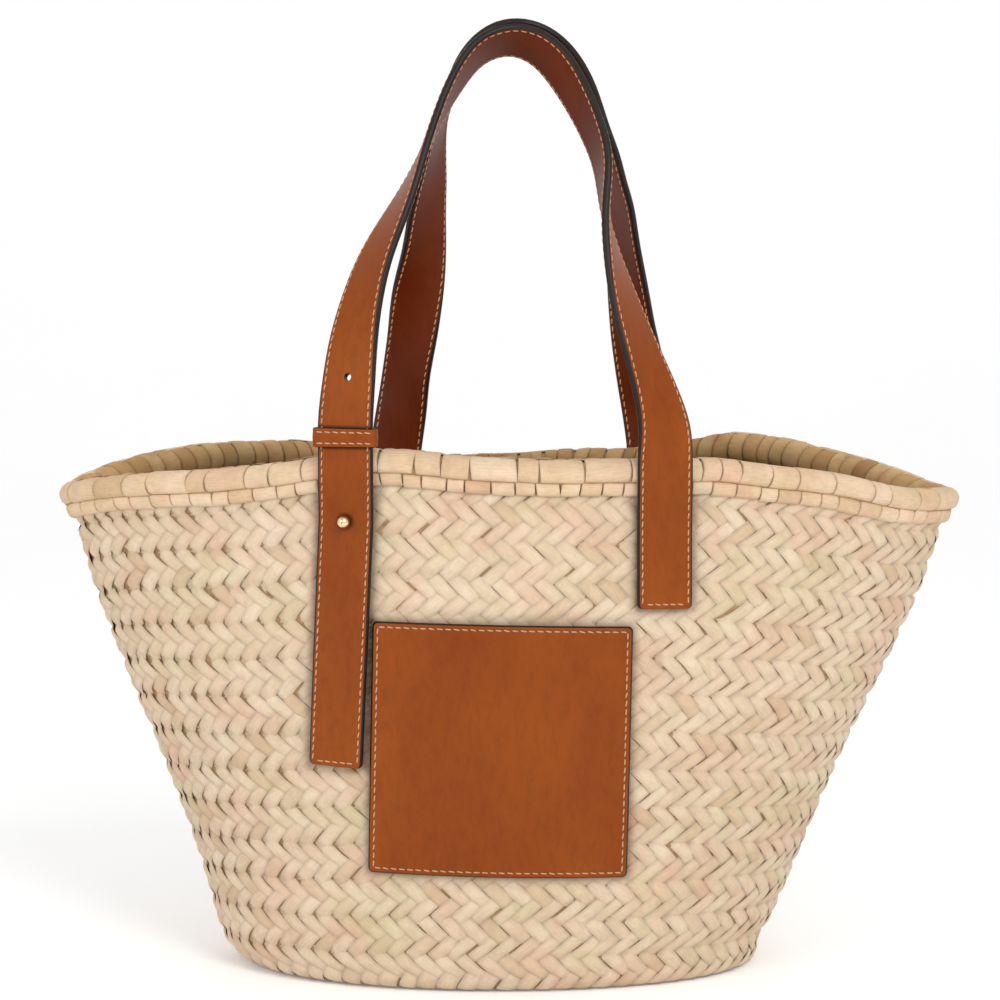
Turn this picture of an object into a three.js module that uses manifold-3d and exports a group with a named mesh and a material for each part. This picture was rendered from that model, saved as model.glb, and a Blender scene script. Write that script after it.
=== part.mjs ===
// A woven straw basket bag with two leather shoulder straps, standing on its flat base.
// Millimetres: X runs across the mouth, Y from front to back and Z up.
// The origin is on the ground, under the middle of the whole bag.

import * as THREE from "three";
import Module from "manifold-3d";
import { mergeVertices } from "three/addons/utils/BufferGeometryUtils.js";

const wasm = await Module();
wasm.setup();

// Driving dimensions

const gap = 0.3; // between two pieces that rest on each other

const basket = {
  width: 471, // tip to tip over the straw, at the rim
  depth: 166, // front to back over the straw, at the rim
  height: 249.5, // ground to the straw's top edge at its lowest, near the right tip
  crown: 27, // from there up to the rim's highest point
  wall: 3,
  floor: 3,
  strips: 14, // rows of braid sewn on top of each other
  seamDepth: 1, // how far the wall dips where two strips are sewn
};

const binding = {
  outside: 16, // how far the wrapping reaches down the outer face
  inside: 13, // and down the inner face
  laceHeight: 7, // the flat lower row of wraps
  laceProud: 2.9,
  rollProud: 5.5, // the round upper row of wraps
  top: 4, // straw above the shell's edge
};

const strap = {
  width: 28.5,
  thickness: 4,
  edge: 1, // painted edge's bevel
  corner: 2.5, // rounding of the cut ends
};

const handle = {
  rise: 210.5, // rim's wrapping to the middle of the front strap at its apex
  frontLeft: -83, // where each leg crosses the rim
  frontRight: 78.8,
  backLeft: -63,
  backRight: 80,
  tail: 156, // loose end on the front, from the shell's edge down
  tailDrift: 5.5, // the tail's sideways lean
  sewn: 72, // the three sewn ends, from the shell's edge down
};

const keeper = { height: 9.6, leather: 2, above: 3 };

const stud = {
  below: 31, // from the shell's edge down to the stud
  shankRadius: 1.6,
  collarRadius: 3.4,
  collarHeight: 0.8,
  ballRadius: 3,
  discRadius: 5.5,
  discHeight: 1.2,
};

const spareHole = { radius: 1.9, above: 38 };

const patch = {
  width: 131.5,
  height: 128.5,
  thickness: 3,
  corner: 2.5,
  tilt: -1.2, // degrees, turned clockwise as seen from the front
  x: -4.7,
  z: 127.5,
};

const columns = 48; // faces round the basket
const straw = { color: 0xd9bd92, roughness: 0.78, metalness: 0 };
const leather = { color: 0x9b5020, roughness: 0.5, metalness: 0 };
const brass = { color: 0xd8b878, roughness: 0.28, metalness: 1 };

// The basket's section at shares of its height: width, depth and shift are shares of the mouth's half
// width and half depth, and power is the section's sharpness, from 0.5 for an ellipse to a pointed lens.
const wallRows = [
  { up: 0, width: 0.556, depth: 0.95, shift: -0.014, power: 0.46 },
  { up: 0.01, width: 0.58, depth: 1.005, shift: -0.022, power: 0.46 },
  { up: 0.03, width: 0.6, depth: 1.04, shift: -0.031, power: 0.47 },
  { up: 0.052, width: 0.611, depth: 1.06, shift: -0.039, power: 0.48 },
  { up: 0.097, width: 0.634, depth: 1.085, shift: -0.034, power: 0.49 },
  { up: 0.228, width: 0.684, depth: 1.12, shift: -0.024, power: 0.52 },
  { up: 0.425, width: 0.766, depth: 1.15, shift: -0.019, power: 0.56 },
  { up: 0.623, width: 0.86, depth: 1.12, shift: -0.012, power: 0.61 },
  { up: 0.82, width: 0.945, depth: 1.06, shift: -0.003, power: 0.66 },
  { up: 1, width: 1, depth: 1, shift: 0, power: 0.7 },
];

// How far the rim climbs, as a share of the crown, across the mouth from the left tip to the right one.
const frontRim = [
  { across: -1, climb: 0.1 },
  { across: -0.97, climb: 0.2 },
  { across: -0.91, climb: 0.32 },
  { across: -0.78, climb: 0.45 },
  { across: -0.66, climb: 0.55 },
  { across: -0.52, climb: 0.7 },
  { across: -0.35, climb: 0.94 },
  { across: -0.27, climb: 1 },
  { across: -0.06, climb: 0.86 },
  { across: 0.11, climb: 0.81 },
  { across: 0.43, climb: 0.81 },
  { across: 0.56, climb: 0.67 },
  { across: 0.73, climb: 0.44 },
  { across: 0.85, climb: 0.18 },
  { across: 0.91, climb: 0.08 },
  { across: 1, climb: 0.02 },
];
const backRim = [
  { across: -1, climb: 0.1 },
  { across: -0.97, climb: 0.28 },
  { across: -0.915, climb: 0.44 },
  { across: -0.83, climb: 0.62 },
  { across: -0.7, climb: 0.755 },
  { across: -0.53, climb: 0.77 },
  { across: -0.35, climb: 0.6 },
  { across: -0.2, climb: 0.42 },
  { across: 0, climb: 0.46 },
  { across: 0.12, climb: 0.54 },
  { across: 0.29, climb: 0.58 },
  { across: 0.44, climb: 0.78 },
  { across: 0.54, climb: 0.94 },
  { across: 0.64, climb: 0.86 },
  { across: 0.75, climb: 0.65 },
  { across: 0.83, climb: 0.5 },
  { across: 0.9, climb: 0.3 },
  { across: 0.97, climb: 0.09 },
  { across: 1, climb: 0.02 },
];

// Each strap's free run from its left leg over the apex to its right leg. reach is a share of half the
// distance between its legs, rise of the handle's rise, lean of the distance from the middle to the rim,
// twist is in degrees, 0 edge on and -90 flat against the wall, and over is 1 where the back strap lies on
// the front one, which the front strap's own table leaves out.
const frontRun = [
  { reach: -1, rise: 0.075, lean: 1, twist: -79 },
  { reach: -0.98, rise: 0.165, lean: 0.975, twist: -70 },
  { reach: -0.95, rise: 0.27, lean: 0.93, twist: -57 },
  { reach: -0.896, rise: 0.371, lean: 0.875, twist: -43 },
  { reach: -0.812, rise: 0.475, lean: 0.8, twist: -32 },
  { reach: -0.632, rise: 0.615, lean: 0.675, twist: -14 },
  { reach: -0.522, rise: 0.72, lean: 0.56, twist: -6 },
  { reach: -0.43, rise: 0.807, lean: 0.455, twist: 2 },
  { reach: -0.345, rise: 0.876, lean: 0.38, twist: 10 },
  { reach: -0.205, rise: 0.958, lean: 0.27, twist: 18 },
  { reach: -0.075, rise: 0.991, lean: 0.205, twist: 24 },
  { reach: 0.06, rise: 1, lean: 0.18, twist: 29 },
  { reach: 0.2, rise: 0.982, lean: 0.205, twist: 33 },
  { reach: 0.32, rise: 0.942, lean: 0.26, twist: 33 },
  { reach: 0.43, rise: 0.88, lean: 0.345, twist: 29 },
  { reach: 0.544, rise: 0.79, lean: 0.46, twist: 22 },
  { reach: 0.622, rise: 0.697, lean: 0.575, twist: 14 },
  { reach: 0.633, rise: 0.584, lean: 0.69, twist: 0 },
  { reach: 0.671, rise: 0.484, lean: 0.785, twist: -11 },
  { reach: 0.748, rise: 0.364, lean: 0.87, twist: -27 },
  { reach: 0.85, rise: 0.246, lean: 0.94, twist: -37 },
  { reach: 0.955, rise: 0.127, lean: 0.985, twist: -52 },
  { reach: 0.998, rise: 0.052, lean: 1, twist: -68 },
];
const backRun = [
  { reach: -0.948, rise: 0.065, lean: 1, twist: -104, over: 0 },
  { reach: -0.916, rise: 0.15, lean: 0.97, twist: -112, over: 0 },
  { reach: -0.866, rise: 0.25, lean: 0.915, twist: -106, over: 0 },
  { reach: -0.827, rise: 0.35, lean: 0.84, twist: -84, over: 0 },
  { reach: -0.773, rise: 0.464, lean: 0.745, twist: -52, over: 0 },
  { reach: -0.745, rise: 0.577, lean: 0.63, twist: -38, over: 0 },
  { reach: -0.715, rise: 0.651, lean: 0.545, twist: -28, over: 0 },
  { reach: -0.69, rise: 0.722, lean: 0.46, twist: -18, over: 0 },
  { reach: -0.656, rise: 0.798, lean: 0.36, twist: -10, over: 0 },
  { reach: -0.604, rise: 0.854, lean: 0.27, twist: -8, over: 0 },
  { reach: -0.5, rise: 0.906, lean: 0.17, twist: -10, over: 0 },
  { reach: -0.372, rise: 0.956, lean: 0.05, twist: -16, over: 0.2 },
  { reach: -0.215, rise: 0.989, lean: -0.06, twist: -23, over: 0.7 },
  { reach: -0.06, rise: 1, lean: -0.13, twist: -27, over: 1 },
  { reach: 0.09, rise: 0.984, lean: -0.125, twist: -30, over: 1 },
  { reach: 0.225, rise: 0.944, lean: -0.06, twist: -30, over: 1 },
  { reach: 0.35, rise: 0.882, lean: 0.05, twist: -27, over: 0.9 },
  { reach: 0.482, rise: 0.792, lean: 0.2, twist: -24, over: 0.35 },
  { reach: 0.585, rise: 0.722, lean: 0.32, twist: -22, over: 0.15 },
  { reach: 0.653, rise: 0.656, lean: 0.43, twist: -22, over: 0 },
  { reach: 0.72, rise: 0.584, lean: 0.55, twist: -24, over: 0 },
  { reach: 0.762, rise: 0.478, lean: 0.68, twist: -32, over: 0 },
  { reach: 0.811, rise: 0.346, lean: 0.82, twist: -48, over: 0 },
  { reach: 0.842, rise: 0.27, lean: 0.875, twist: -55, over: 0 },
  { reach: 0.881, rise: 0.2, lean: 0.92, twist: -66, over: 0 },
  { reach: 0.925, rise: 0.12, lean: 0.965, twist: -74, over: 0 },
  { reach: 0.955, rise: 0.066, lean: 0.995, twist: -77, over: 0 },
];

// Small tools

// Reads a table's columns at a place between its rows, on a smooth curve that never overshoots.
function rowAt(table, key, place) {
  const at = THREE.MathUtils.clamp(place, table[0][key], table.at(-1)[key]);
  let i = 0;
  while (i < table.length - 2 && table[i + 1][key] < at) i++;
  const run = table[i + 1][key] - table[i][key];
  const t = (at - table[i][key]) / run;
  const slope = (j, name) => {
    if (j < 1 || j > table.length - 2) return null;
    const before = (table[j][name] - table[j - 1][name]) / (table[j][key] - table[j - 1][key]);
    const after = (table[j + 1][name] - table[j][name]) / (table[j + 1][key] - table[j][key]);
    return before * after <= 0 ? 0 : (2 * before * after) / (before + after);
  };
  const found = {};
  for (const name of Object.keys(table[0])) {
    const straight = (table[i + 1][name] - table[i][name]) / run;
    const from = slope(i, name) ?? straight;
    const to = slope(i + 1, name) ?? straight;
    const bend = t * (t - 1) * ((from - straight) * (t - 1) + (to - straight) * t) * run;
    found[name] = THREE.MathUtils.lerp(table[i][name], table[i + 1][name], t) + bend;
  }
  return found;
}

function geometryOf(points, faces) {
  const geometry = new THREE.BufferGeometry();
  const a = new THREE.Vector3();
  const volume = faces.reduce(
    (sum, [i, j, k]) => sum + a.crossVectors(points[i], points[j]).dot(points[k]),
    0,
  );
  const order = volume < 0 ? faces.map(([i, j, k]) => [i, k, j]) : faces;
  geometry.setAttribute(
    "position",
    new THREE.Float32BufferAttribute(points.flatMap((p) => p.toArray()), 3),
  );
  geometry.setIndex(order.flat());
  return geometry;
}

// A closed solid through rings of points. A loop's last ring joins its first; else both ends are capped.
function loft(rings, loop) {
  const size = rings[0].length;
  const points = rings.flat();
  const faces = [];
  const spans = loop ? rings.length : rings.length - 1;
  for (let r = 0; r < spans; r++) {
    const next = ((r + 1) % rings.length) * size;
    for (let i = 0; i < size; i++) {
      const j = (i + 1) % size;
      faces.push([r * size + i, r * size + j, next + j], [r * size + i, next + j, next + i]);
    }
  }
  if (loop) return geometryOf(points, faces);
  for (const [start, turned] of [[0, true], [(rings.length - 1) * size, false]]) {
    const middle = points.slice(start, start + size).reduce((sum, p) => sum.add(p), new THREE.Vector3());
    const centre = points.push(middle.divideScalar(size)) - 1;
    for (let i = 0; i < size; i++) {
      const j = start + ((i + 1) % size);
      faces.push(turned ? [centre, j, start + i] : [centre, start + i, j]);
    }
  }
  return geometryOf(points, faces);
}

function solidOf(geometry) {
  const bare = new THREE.BufferGeometry();
  bare.setAttribute("position", geometry.getAttribute("position"));
  bare.setIndex(geometry.getIndex());
  const merged = mergeVertices(bare, 1e-4);
  const vertProperties = new Float32Array(merged.getAttribute("position").array);
  return new wasm.Manifold(
    new wasm.Mesh({ numProp: 3, vertProperties, triVerts: new Uint32Array(merged.index.array) }),
  );
}

function cut(geometry, tools) {
  const left = tools.reduce((solid, tool) => solid.subtract(solidOf(tool)), solidOf(geometry));
  const { vertProperties, triVerts } = left.getMesh();
  const made = new THREE.BufferGeometry();
  made.setAttribute("position", new THREE.BufferAttribute(vertProperties, 3));
  made.setIndex(new THREE.BufferAttribute(triVerts, 1));
  return made;
}

function piece(name, geometry, look) {
  geometry.computeVertexNormals();
  const mesh = new THREE.Mesh(geometry, new THREE.MeshStandardMaterial({ flatShading: true, ...look }));
  mesh.name = name;
  return mesh;
}

// The basket's form

// The height of the straw's top edge. across runs from -1 to 1, and side is -1 in front and 1 behind.
function rimHeight(across, side) {
  const climb = rowAt(side < 0 ? frontRim : backRim, "across", across).climb;
  return basket.height + basket.crown * climb;
}

// The level section at a share of the height, moved out of the wall's face by offset.
function sectionAt(up, offset = 0) {
  const step = 0.01;
  const low = rowAt(wallRows, "up", THREE.MathUtils.clamp(up - step, 0, 1 - 2 * step));
  const high = rowAt(wallRows, "up", THREE.MathUtils.clamp(up + step, 2 * step, 1));
  const row = rowAt(wallRows, "up", up);
  const rise = 2 * step * basket.height;
  const sideLean = Math.hypot(1, ((high.width - low.width) * basket.width) / 2 / rise);
  const frontLean = Math.hypot(1, ((high.depth - low.depth) * basket.depth) / 2 / rise);
  const tip = offset < 0 ? 1 + 3 * (row.power - 0.5) : 1; // the fold at the tips is thicker
  return {
    x: (row.shift * basket.width) / 2,
    halfWidth: (row.width * basket.width) / 2 + offset * sideLean * tip,
    halfDepth: (row.depth * basket.depth) / 2 + offset * frontLean,
    power: row.power,
  };
}

function basketPoint(angle, up, offset = 0) {
  const section = sectionAt(up, offset);
  const across = Math.cos(angle);
  const along = Math.sin(angle);
  return new THREE.Vector3(
    section.x + section.halfWidth * across,
    section.halfDepth * Math.sign(along) * Math.abs(along) ** (2 * section.power),
    up * rimHeight(across, along),
  );
}

// The point of the front or back wall at x and z, moved out of its face by offset.
function wallPoint(x, z, side, offset = 0) {
  let up = z / basket.height;
  let section;
  let across;
  for (let i = 0; i < 8; i++) {
    section = sectionAt(up, offset);
    across = THREE.MathUtils.clamp((x - section.x) / section.halfWidth, -1, 1);
    up = z / rimHeight(across, side);
  }
  return new THREE.Vector3(x, side * section.halfDepth * (1 - across ** 2) ** section.power, z);
}

function edgeHeight(x, side) {
  const section = sectionAt(1);
  return rimHeight((x - section.x) / section.halfWidth, side);
}

const angles = Array.from({ length: columns }, (_, i) => (i * 2 * Math.PI) / columns);
const ring = (up, offset) => angles.map((angle) => basketPoint(angle, up, offset));

// The woven shell: a rounded base, a wall that dips at each seam between strips, and a level floor.
function shellGeometry() {
  const outer = [0, 0.012, 0.03, 0.7 / basket.strips].map((up) => ring(up, 0));
  for (let strip = 1; strip < basket.strips; strip++) {
    for (const [share, dip] of [[0, 1], [0.3, 0], [0.7, 0]]) {
      outer.push(ring((strip + share) / basket.strips, -dip * basket.seamDepth));
    }
  }
  outer.push(ring(1, 0));
  const floorUp = basket.floor / basket.height;
  const inner = [1, 0.9, 0.78, 0.64, 0.5, 0.36, 0.24, 0.14, 0.07, 0.035, floorUp];
  return loft([...outer, ...inner.map((up) => ring(up, -basket.wall))], false);
}

// The wrapped edge: a folded ring that rides over the shell's top edge, thick rolls above a flat row.
function bindingGeometry() {
  const { outside, inside, laceHeight, laceProud, rollProud, top } = binding;
  const wall = basket.wall;
  const profile = [
    [laceProud - gap, -outside],
    [laceProud, laceHeight - 0.5 - outside],
    [rollProud - 0.9, laceHeight + 0.5 - outside],
    [rollProud, -top],
    [rollProud - 0.9, 0.3 * top],
    [rollProud / 5, top],
    [-wall - rollProud / 5, top],
    [-wall - rollProud + 1, 0.3 * top],
    [-wall - rollProud + 0.2, -top],
    [-wall - rollProud + 1.2, -0.65 * inside],
    [-wall - rollProud / 2, -inside],
    [-wall - gap, -inside],
    [-wall - gap, gap],
    [gap, gap],
    [gap, -outside],
  ];
  const rings = angles.map((angle) => {
    const edge = basketPoint(angle, 1).z;
    return profile.map(([offset, rise]) => {
      const point = basketPoint(angle, 1 + Math.min(rise, 0) / edge, offset);
      point.z = edge + rise;
      return point;
    });
  });
  return loft(rings, true);
}

// The straps

// The stations of one leg on the wall, from its end up over the binding. The strap lies flat on the wall.
function legStations(side, x, length, drift) {
  const edge = edgeHeight(x, side);
  const half = strap.thickness / 2 + gap;
  const rests = [
    [-length, 0],
    [-length + strap.corner, 0],
    [-0.75 * length, 0],
    [-0.55 * length, 0],
    [-2.6 * binding.outside, 0],
    [-2.05 * binding.outside, 0],
    [-1.55 * binding.outside, 0.35 * binding.laceProud],
    [-1.05 * binding.outside, binding.laceProud + 0.4],
    [-0.5 * binding.outside, binding.rollProud],
    [0, binding.rollProud + 0.2],
    [binding.top + 1, binding.rollProud + 0.2],
  ];
  const kept = rests.filter(([rise], i) => i < 2 || rise > -length + 3 * strap.corner);
  return kept.sort((a, b) => a[0] - b[0]).map(([rise, rest]) => {
    const place = x - drift * Math.max(0, (-rise - stud.below) / (length - stud.below));
    const z = edge + rise;
    const point = wallPoint(place, z, side, half + rest);
    const next = wallPoint(place + 1, z, side, half + rest);
    const plan = THREE.MathUtils.radToDeg(Math.atan(Math.abs(next.y - point.y)));
    return { point, twist: plan - 90, over: 0 };
  });
}

// A strap's whole course as stations: its middle, and the directions along, across and out of its face.
function strapCourse(side, left, right, run, [leftLength, rightLength], drift) {
  const leftLeg = legStations(side, left, leftLength, drift);
  const rightLeg = legStations(side, right, rightLength, 0).reverse();
  const middle = (left + right) / 2;
  const half = (right - left) / 2;
  const top = edgeHeight(handle.frontLeft, -1) + binding.top;
  const free = run.map(({ reach, rise, lean, twist, over = 0 }) => {
    const leg = reach < 0 ? leftLeg.at(-1) : rightLeg[0];
    return {
      point: new THREE.Vector3(middle + half * reach, leg.point.y * lean, top + handle.rise * rise),
      twist,
      over,
    };
  });
  const knots = [...leftLeg, ...free, ...rightLeg];
  const curve = new THREE.CatmullRomCurve3(knots.map((knot) => knot.point), false, "centripetal");
  const places = knots.map((knot, i) => ({ at: i, twist: knot.twist, over: knot.over }));
  const last = knots.length - 1;
  const count = 2 * last;
  const stations = [];
  for (let i = 0; i <= count; i++) {
    const { twist, over } = rowAt(places, "at", (i / count) * last);
    const along = curve.getTangent(i / count);
    const aside = new THREE.Vector3(-along.z, 0, along.x).normalize();
    const turn = THREE.MathUtils.degToRad(twist);
    const across = new THREE.Vector3(0, side * Math.cos(turn), 0).addScaledVector(aside, Math.sin(turn));
    across.addScaledVector(along, -across.dot(along)).normalize();
    const out = new THREE.Vector3().crossVectors(along, across).multiplyScalar(side);
    const point = curve.getPoint(i / count).addScaledVector(out, over * (strap.thickness + gap));
    stations.push({ point, along, across, out });
  }
  return stations;
}

function strapGeometry(course) {
  const halfThick = strap.thickness / 2;
  const rings = course.map(({ point, across, out }, i) => {
    const cornered = i === 0 || i === course.length - 1;
    const halfWide = strap.width / 2 - (cornered ? strap.corner / 3 : 0);
    const corners = [
      [-halfWide, halfThick - strap.edge],
      [-halfWide + strap.edge, halfThick],
      [halfWide - strap.edge, halfThick],
      [halfWide, halfThick - strap.edge],
      [halfWide, strap.edge - halfThick],
      [halfWide - strap.edge, -halfThick],
      [-halfWide + strap.edge, -halfThick],
      [-halfWide, strap.edge - halfThick],
    ];
    return corners.map(([w, n]) => point.clone().addScaledVector(across, w).addScaledVector(out, n));
  });
  return loft(rings, false);
}

// The station of a course's first leg at a height.
function stationAt(course, z) {
  const i = course.findIndex((station) => station.point.z > z);
  const [low, high] = [course[i - 1], course[i]];
  const t = (z - low.point.z) / (high.point.z - low.point.z);
  const mix = (name) => low[name].clone().lerp(high[name], t);
  return { point: mix("point"), along: mix("along"), across: mix("across"), out: mix("out") };
}

// A round tool or fitting that is turned from its own Y axis into the strap's outward direction.
function onStrap(geometry, station) {
  const turn = new THREE.Quaternion().setFromUnitVectors(
    new THREE.Vector3(0, 1, 0),
    station.out.clone().normalize(),
  );
  return geometry.applyQuaternion(turn).translate(...station.point.toArray());
}

function drill(station, radius) {
  const length = 6 * strap.thickness;
  return onStrap(new THREE.CylinderGeometry(radius, radius, length, 12), station);
}

// The keeper: a flat leather loop round the strap, just above the rim. It follows the strap's twist.
function keeperGeometry(course, bottom) {
  const corners = (spread) => {
    const halfWide = strap.width / 2 + spread;
    const halfThick = strap.thickness / 2 + spread;
    const bevel = strap.edge;
    return [
      [-halfWide, halfThick - bevel],
      [-halfWide + bevel, halfThick],
      [halfWide - bevel, halfThick],
      [halfWide, halfThick - bevel],
      [halfWide, bevel - halfThick],
      [halfWide - bevel, -halfThick],
      [-halfWide + bevel, -halfThick],
      [-halfWide, bevel - halfThick],
    ];
  };
  const levels = [0, 0.25, 0.5, 0.75, 1].map((share) => stationAt(course, bottom + share * keeper.height));
  const column = (corner) =>
    levels.map(({ point, across, out }) =>
      point.clone().addScaledVector(across, corner[0]).addScaledVector(out, corner[1]),
    );
  const inner = corners(gap);
  const outer = corners(gap + keeper.leather);
  return loft(outer.map((corner, i) => [...column(corner), ...column(inner[i]).reverse()]), true);
}

// The stud: a ball on a collar, whose shank runs through strap and wall to a flat disc inside.
function studGeometry(station) {
  const seat = strap.thickness / 2 + gap;
  const { x, z } = station.point;
  const lining = wallPoint(x, z, -1, -basket.wall);
  const inside = station.out.dot(lining.sub(station.point)) - 3 * gap;
  const neck = seat + stud.collarHeight;
  const centre = neck + 0.9 * stud.ballRadius;
  const profile = [
    [0, inside - stud.discHeight],
    [stud.discRadius, inside - stud.discHeight],
    [stud.discRadius, inside],
    [stud.shankRadius, inside],
    [stud.shankRadius, seat],
    [stud.collarRadius, seat],
    [stud.collarRadius, neck - 0.3],
    [stud.shankRadius, neck],
  ];
  for (let degrees = -40; degrees < 90; degrees += 26) {
    const turn = THREE.MathUtils.degToRad(degrees);
    profile.push([stud.ballRadius * Math.cos(turn), centre + stud.ballRadius * Math.sin(turn)]);
  }
  profile.push([0, centre + stud.ballRadius]);
  const points = profile.map(([radius, height]) => new THREE.Vector2(radius, height));
  return onStrap(mergeVertices(bareOf(new THREE.LatheGeometry(points, 16)), 1e-3), station);
}

function bareOf(geometry) {
  geometry.deleteAttribute("normal");
  geometry.deleteAttribute("uv");
  return geometry;
}

// The square panel: a leather plate that follows the front wall.
function patchGeometry() {
  const steps = (length, count) => {
    const inner = Array.from(
      { length: count + 1 },
      (_, i) => patch.corner - length / 2 + (i * (length - 2 * patch.corner)) / count,
    );
    return [-length / 2, ...inner, length / 2];
  };
  const xs = steps(patch.width, 10);
  const zs = steps(patch.height, 8);
  const tilt = THREE.MathUtils.degToRad(patch.tilt);
  const pointAt = (i, j, offset) => {
    const atCorner = (i === 0 || i === xs.length - 1) && (j === 0 || j === zs.length - 1);
    const inset = atCorner ? 1 - (0.6 * patch.corner) / patch.width : 1;
    const [x, z] = [xs[i] * inset, zs[j] * inset];
    const worldX = patch.x + x * Math.cos(tilt) - z * Math.sin(tilt);
    const worldZ = patch.z + x * Math.sin(tilt) + z * Math.cos(tilt);
    return wallPoint(worldX, worldZ, -1, offset);
  };
  const rim = [];
  for (let i = 0; i < xs.length - 1; i++) rim.push([i, 0]);
  for (let j = 0; j < zs.length - 1; j++) rim.push([xs.length - 1, j]);
  for (let i = xs.length - 1; i > 0; i--) rim.push([i, zs.length - 1]);
  for (let j = zs.length - 1; j > 0; j--) rim.push([0, j]);
  const points = [];
  for (const offset of [gap, gap + patch.thickness]) {
    xs.forEach((_, i) => zs.forEach((_, j) => points.push(pointAt(i, j, offset))));
  }
  const layer = xs.length * zs.length;
  const at = (i, j, face) => face * layer + i * zs.length + j;
  const faces = [];
  for (let i = 0; i < xs.length - 1; i++) {
    for (let j = 0; j < zs.length - 1; j++) {
      for (const face of [0, 1]) {
        const [a, b, c, d] = [at(i, j, face), at(i + 1, j, face), at(i + 1, j + 1, face), at(i, j + 1, face)];
        faces.push(...(face ? [[a, b, c], [a, c, d]] : [[a, c, b], [a, d, c]]));
      }
    }
  }
  rim.forEach(([i, j], n) => {
    const [k, l] = rim[(n + 1) % rim.length];
    const [a, b, c, d] = [at(i, j, 0), at(k, l, 0), at(k, l, 1), at(i, j, 1)];
    faces.push([a, b, c], [a, c, d]);
  });
  return geometryOf(points, faces);
}

// Assembly

const frontCourse = strapCourse(
  -1,
  handle.frontLeft,
  handle.frontRight,
  frontRun,
  [handle.tail, handle.sewn],
  handle.tailDrift,
);
const backCourse = strapCourse(
  1,
  handle.backLeft,
  handle.backRight,
  backRun,
  [handle.sewn, handle.sewn],
  0,
);
const shellEdge = edgeHeight(handle.frontLeft, -1);
const keeperBottom = shellEdge + binding.top + keeper.above;
const studStation = stationAt(frontCourse, shellEdge - stud.below);
const spareStation = stationAt(frontCourse, shellEdge + binding.top + spareHole.above);
const shankHole = () => drill(studStation, stud.shankRadius + gap);

const bag = new THREE.Group();
bag.add(
  piece("basket_body", cut(shellGeometry(), [shankHole()]), straw),
  piece("rim_binding", bindingGeometry(), straw),
  piece(
    "front_handle",
    cut(strapGeometry(frontCourse), [shankHole(), drill(spareStation, spareHole.radius)]),
    leather,
  ),
  piece("back_handle", strapGeometry(backCourse), leather),
  piece("strap_keeper", keeperGeometry(frontCourse, keeperBottom), leather),
  piece("strap_stud", studGeometry(studStation), brass),
  piece("leather_patch", patchGeometry(), leather),
);

const bounds = new THREE.Box3().setFromObject(bag, true);
const middle = bounds.getCenter(new THREE.Vector3());
bag.position.set(-middle.x, -middle.y, -bounds.min.z);

const model = new THREE.Group();
model.add(bag);

export default model;
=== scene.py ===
# Looks for the straw basket bag: woven wall, wrapped rim, stitched leather straps, square patch and stud.
# Sizes are millimetres in the part's own frame until a mesh is made, and metres from there on.

import math

import bmesh
import bpy
import numpy as np
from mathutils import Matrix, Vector


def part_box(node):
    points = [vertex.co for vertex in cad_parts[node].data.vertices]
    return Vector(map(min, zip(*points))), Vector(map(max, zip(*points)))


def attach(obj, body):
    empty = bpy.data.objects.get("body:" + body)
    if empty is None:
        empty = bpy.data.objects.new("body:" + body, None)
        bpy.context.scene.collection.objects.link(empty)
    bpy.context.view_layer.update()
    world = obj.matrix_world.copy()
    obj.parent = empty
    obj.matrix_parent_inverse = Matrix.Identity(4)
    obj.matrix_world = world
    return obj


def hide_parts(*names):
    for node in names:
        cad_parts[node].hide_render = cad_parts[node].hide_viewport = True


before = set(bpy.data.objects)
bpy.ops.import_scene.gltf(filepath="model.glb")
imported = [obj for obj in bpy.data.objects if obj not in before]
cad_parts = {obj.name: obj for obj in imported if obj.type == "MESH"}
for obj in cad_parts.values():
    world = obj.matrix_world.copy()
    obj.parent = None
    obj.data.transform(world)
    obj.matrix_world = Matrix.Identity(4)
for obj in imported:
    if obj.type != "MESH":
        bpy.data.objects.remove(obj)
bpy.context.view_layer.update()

# Driving dimensions, as in the part's source

GAP = 0.3
BASKET_WIDTH = 471
BASKET_DEPTH = 166
BASKET_HEIGHT = 249.5
BASKET_CROWN = 27
WALL = 3
STRIPS = 14
ROWS_PER_STRIP = 2

BINDING_OUTSIDE = 16
LACE_PROUD = 2.9
ROLL_PROUD = 5.5
BINDING_TOP = 4

STRAP_WIDTH = 28.5
STRAP_THICKNESS = 4
STRAP_CORNER = 2.5
HANDLE_RISE = 210.5
FRONT_LEGS = (-83, 78.8)
BACK_LEGS = (-63, 80)
TAIL = 156
TAIL_DRIFT = 5.5
SEWN = 72
KEEPER_HEIGHT = 9.6
KEEPER_LEATHER = 2
KEEPER_ABOVE = 3
STUD_BELOW = 31
SPARE_HOLE_RADIUS = 1.9
SPARE_HOLE_ABOVE = 38

PATCH_WIDTH = 131.5
PATCH_HEIGHT = 128.5
PATCH_THICKNESS = 3
PATCH_CORNER = 2.5
PATCH_TILT = -1.2
PATCH_X = -4.7
PATCH_Z = 127.5

# Sizes of the weave

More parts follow.
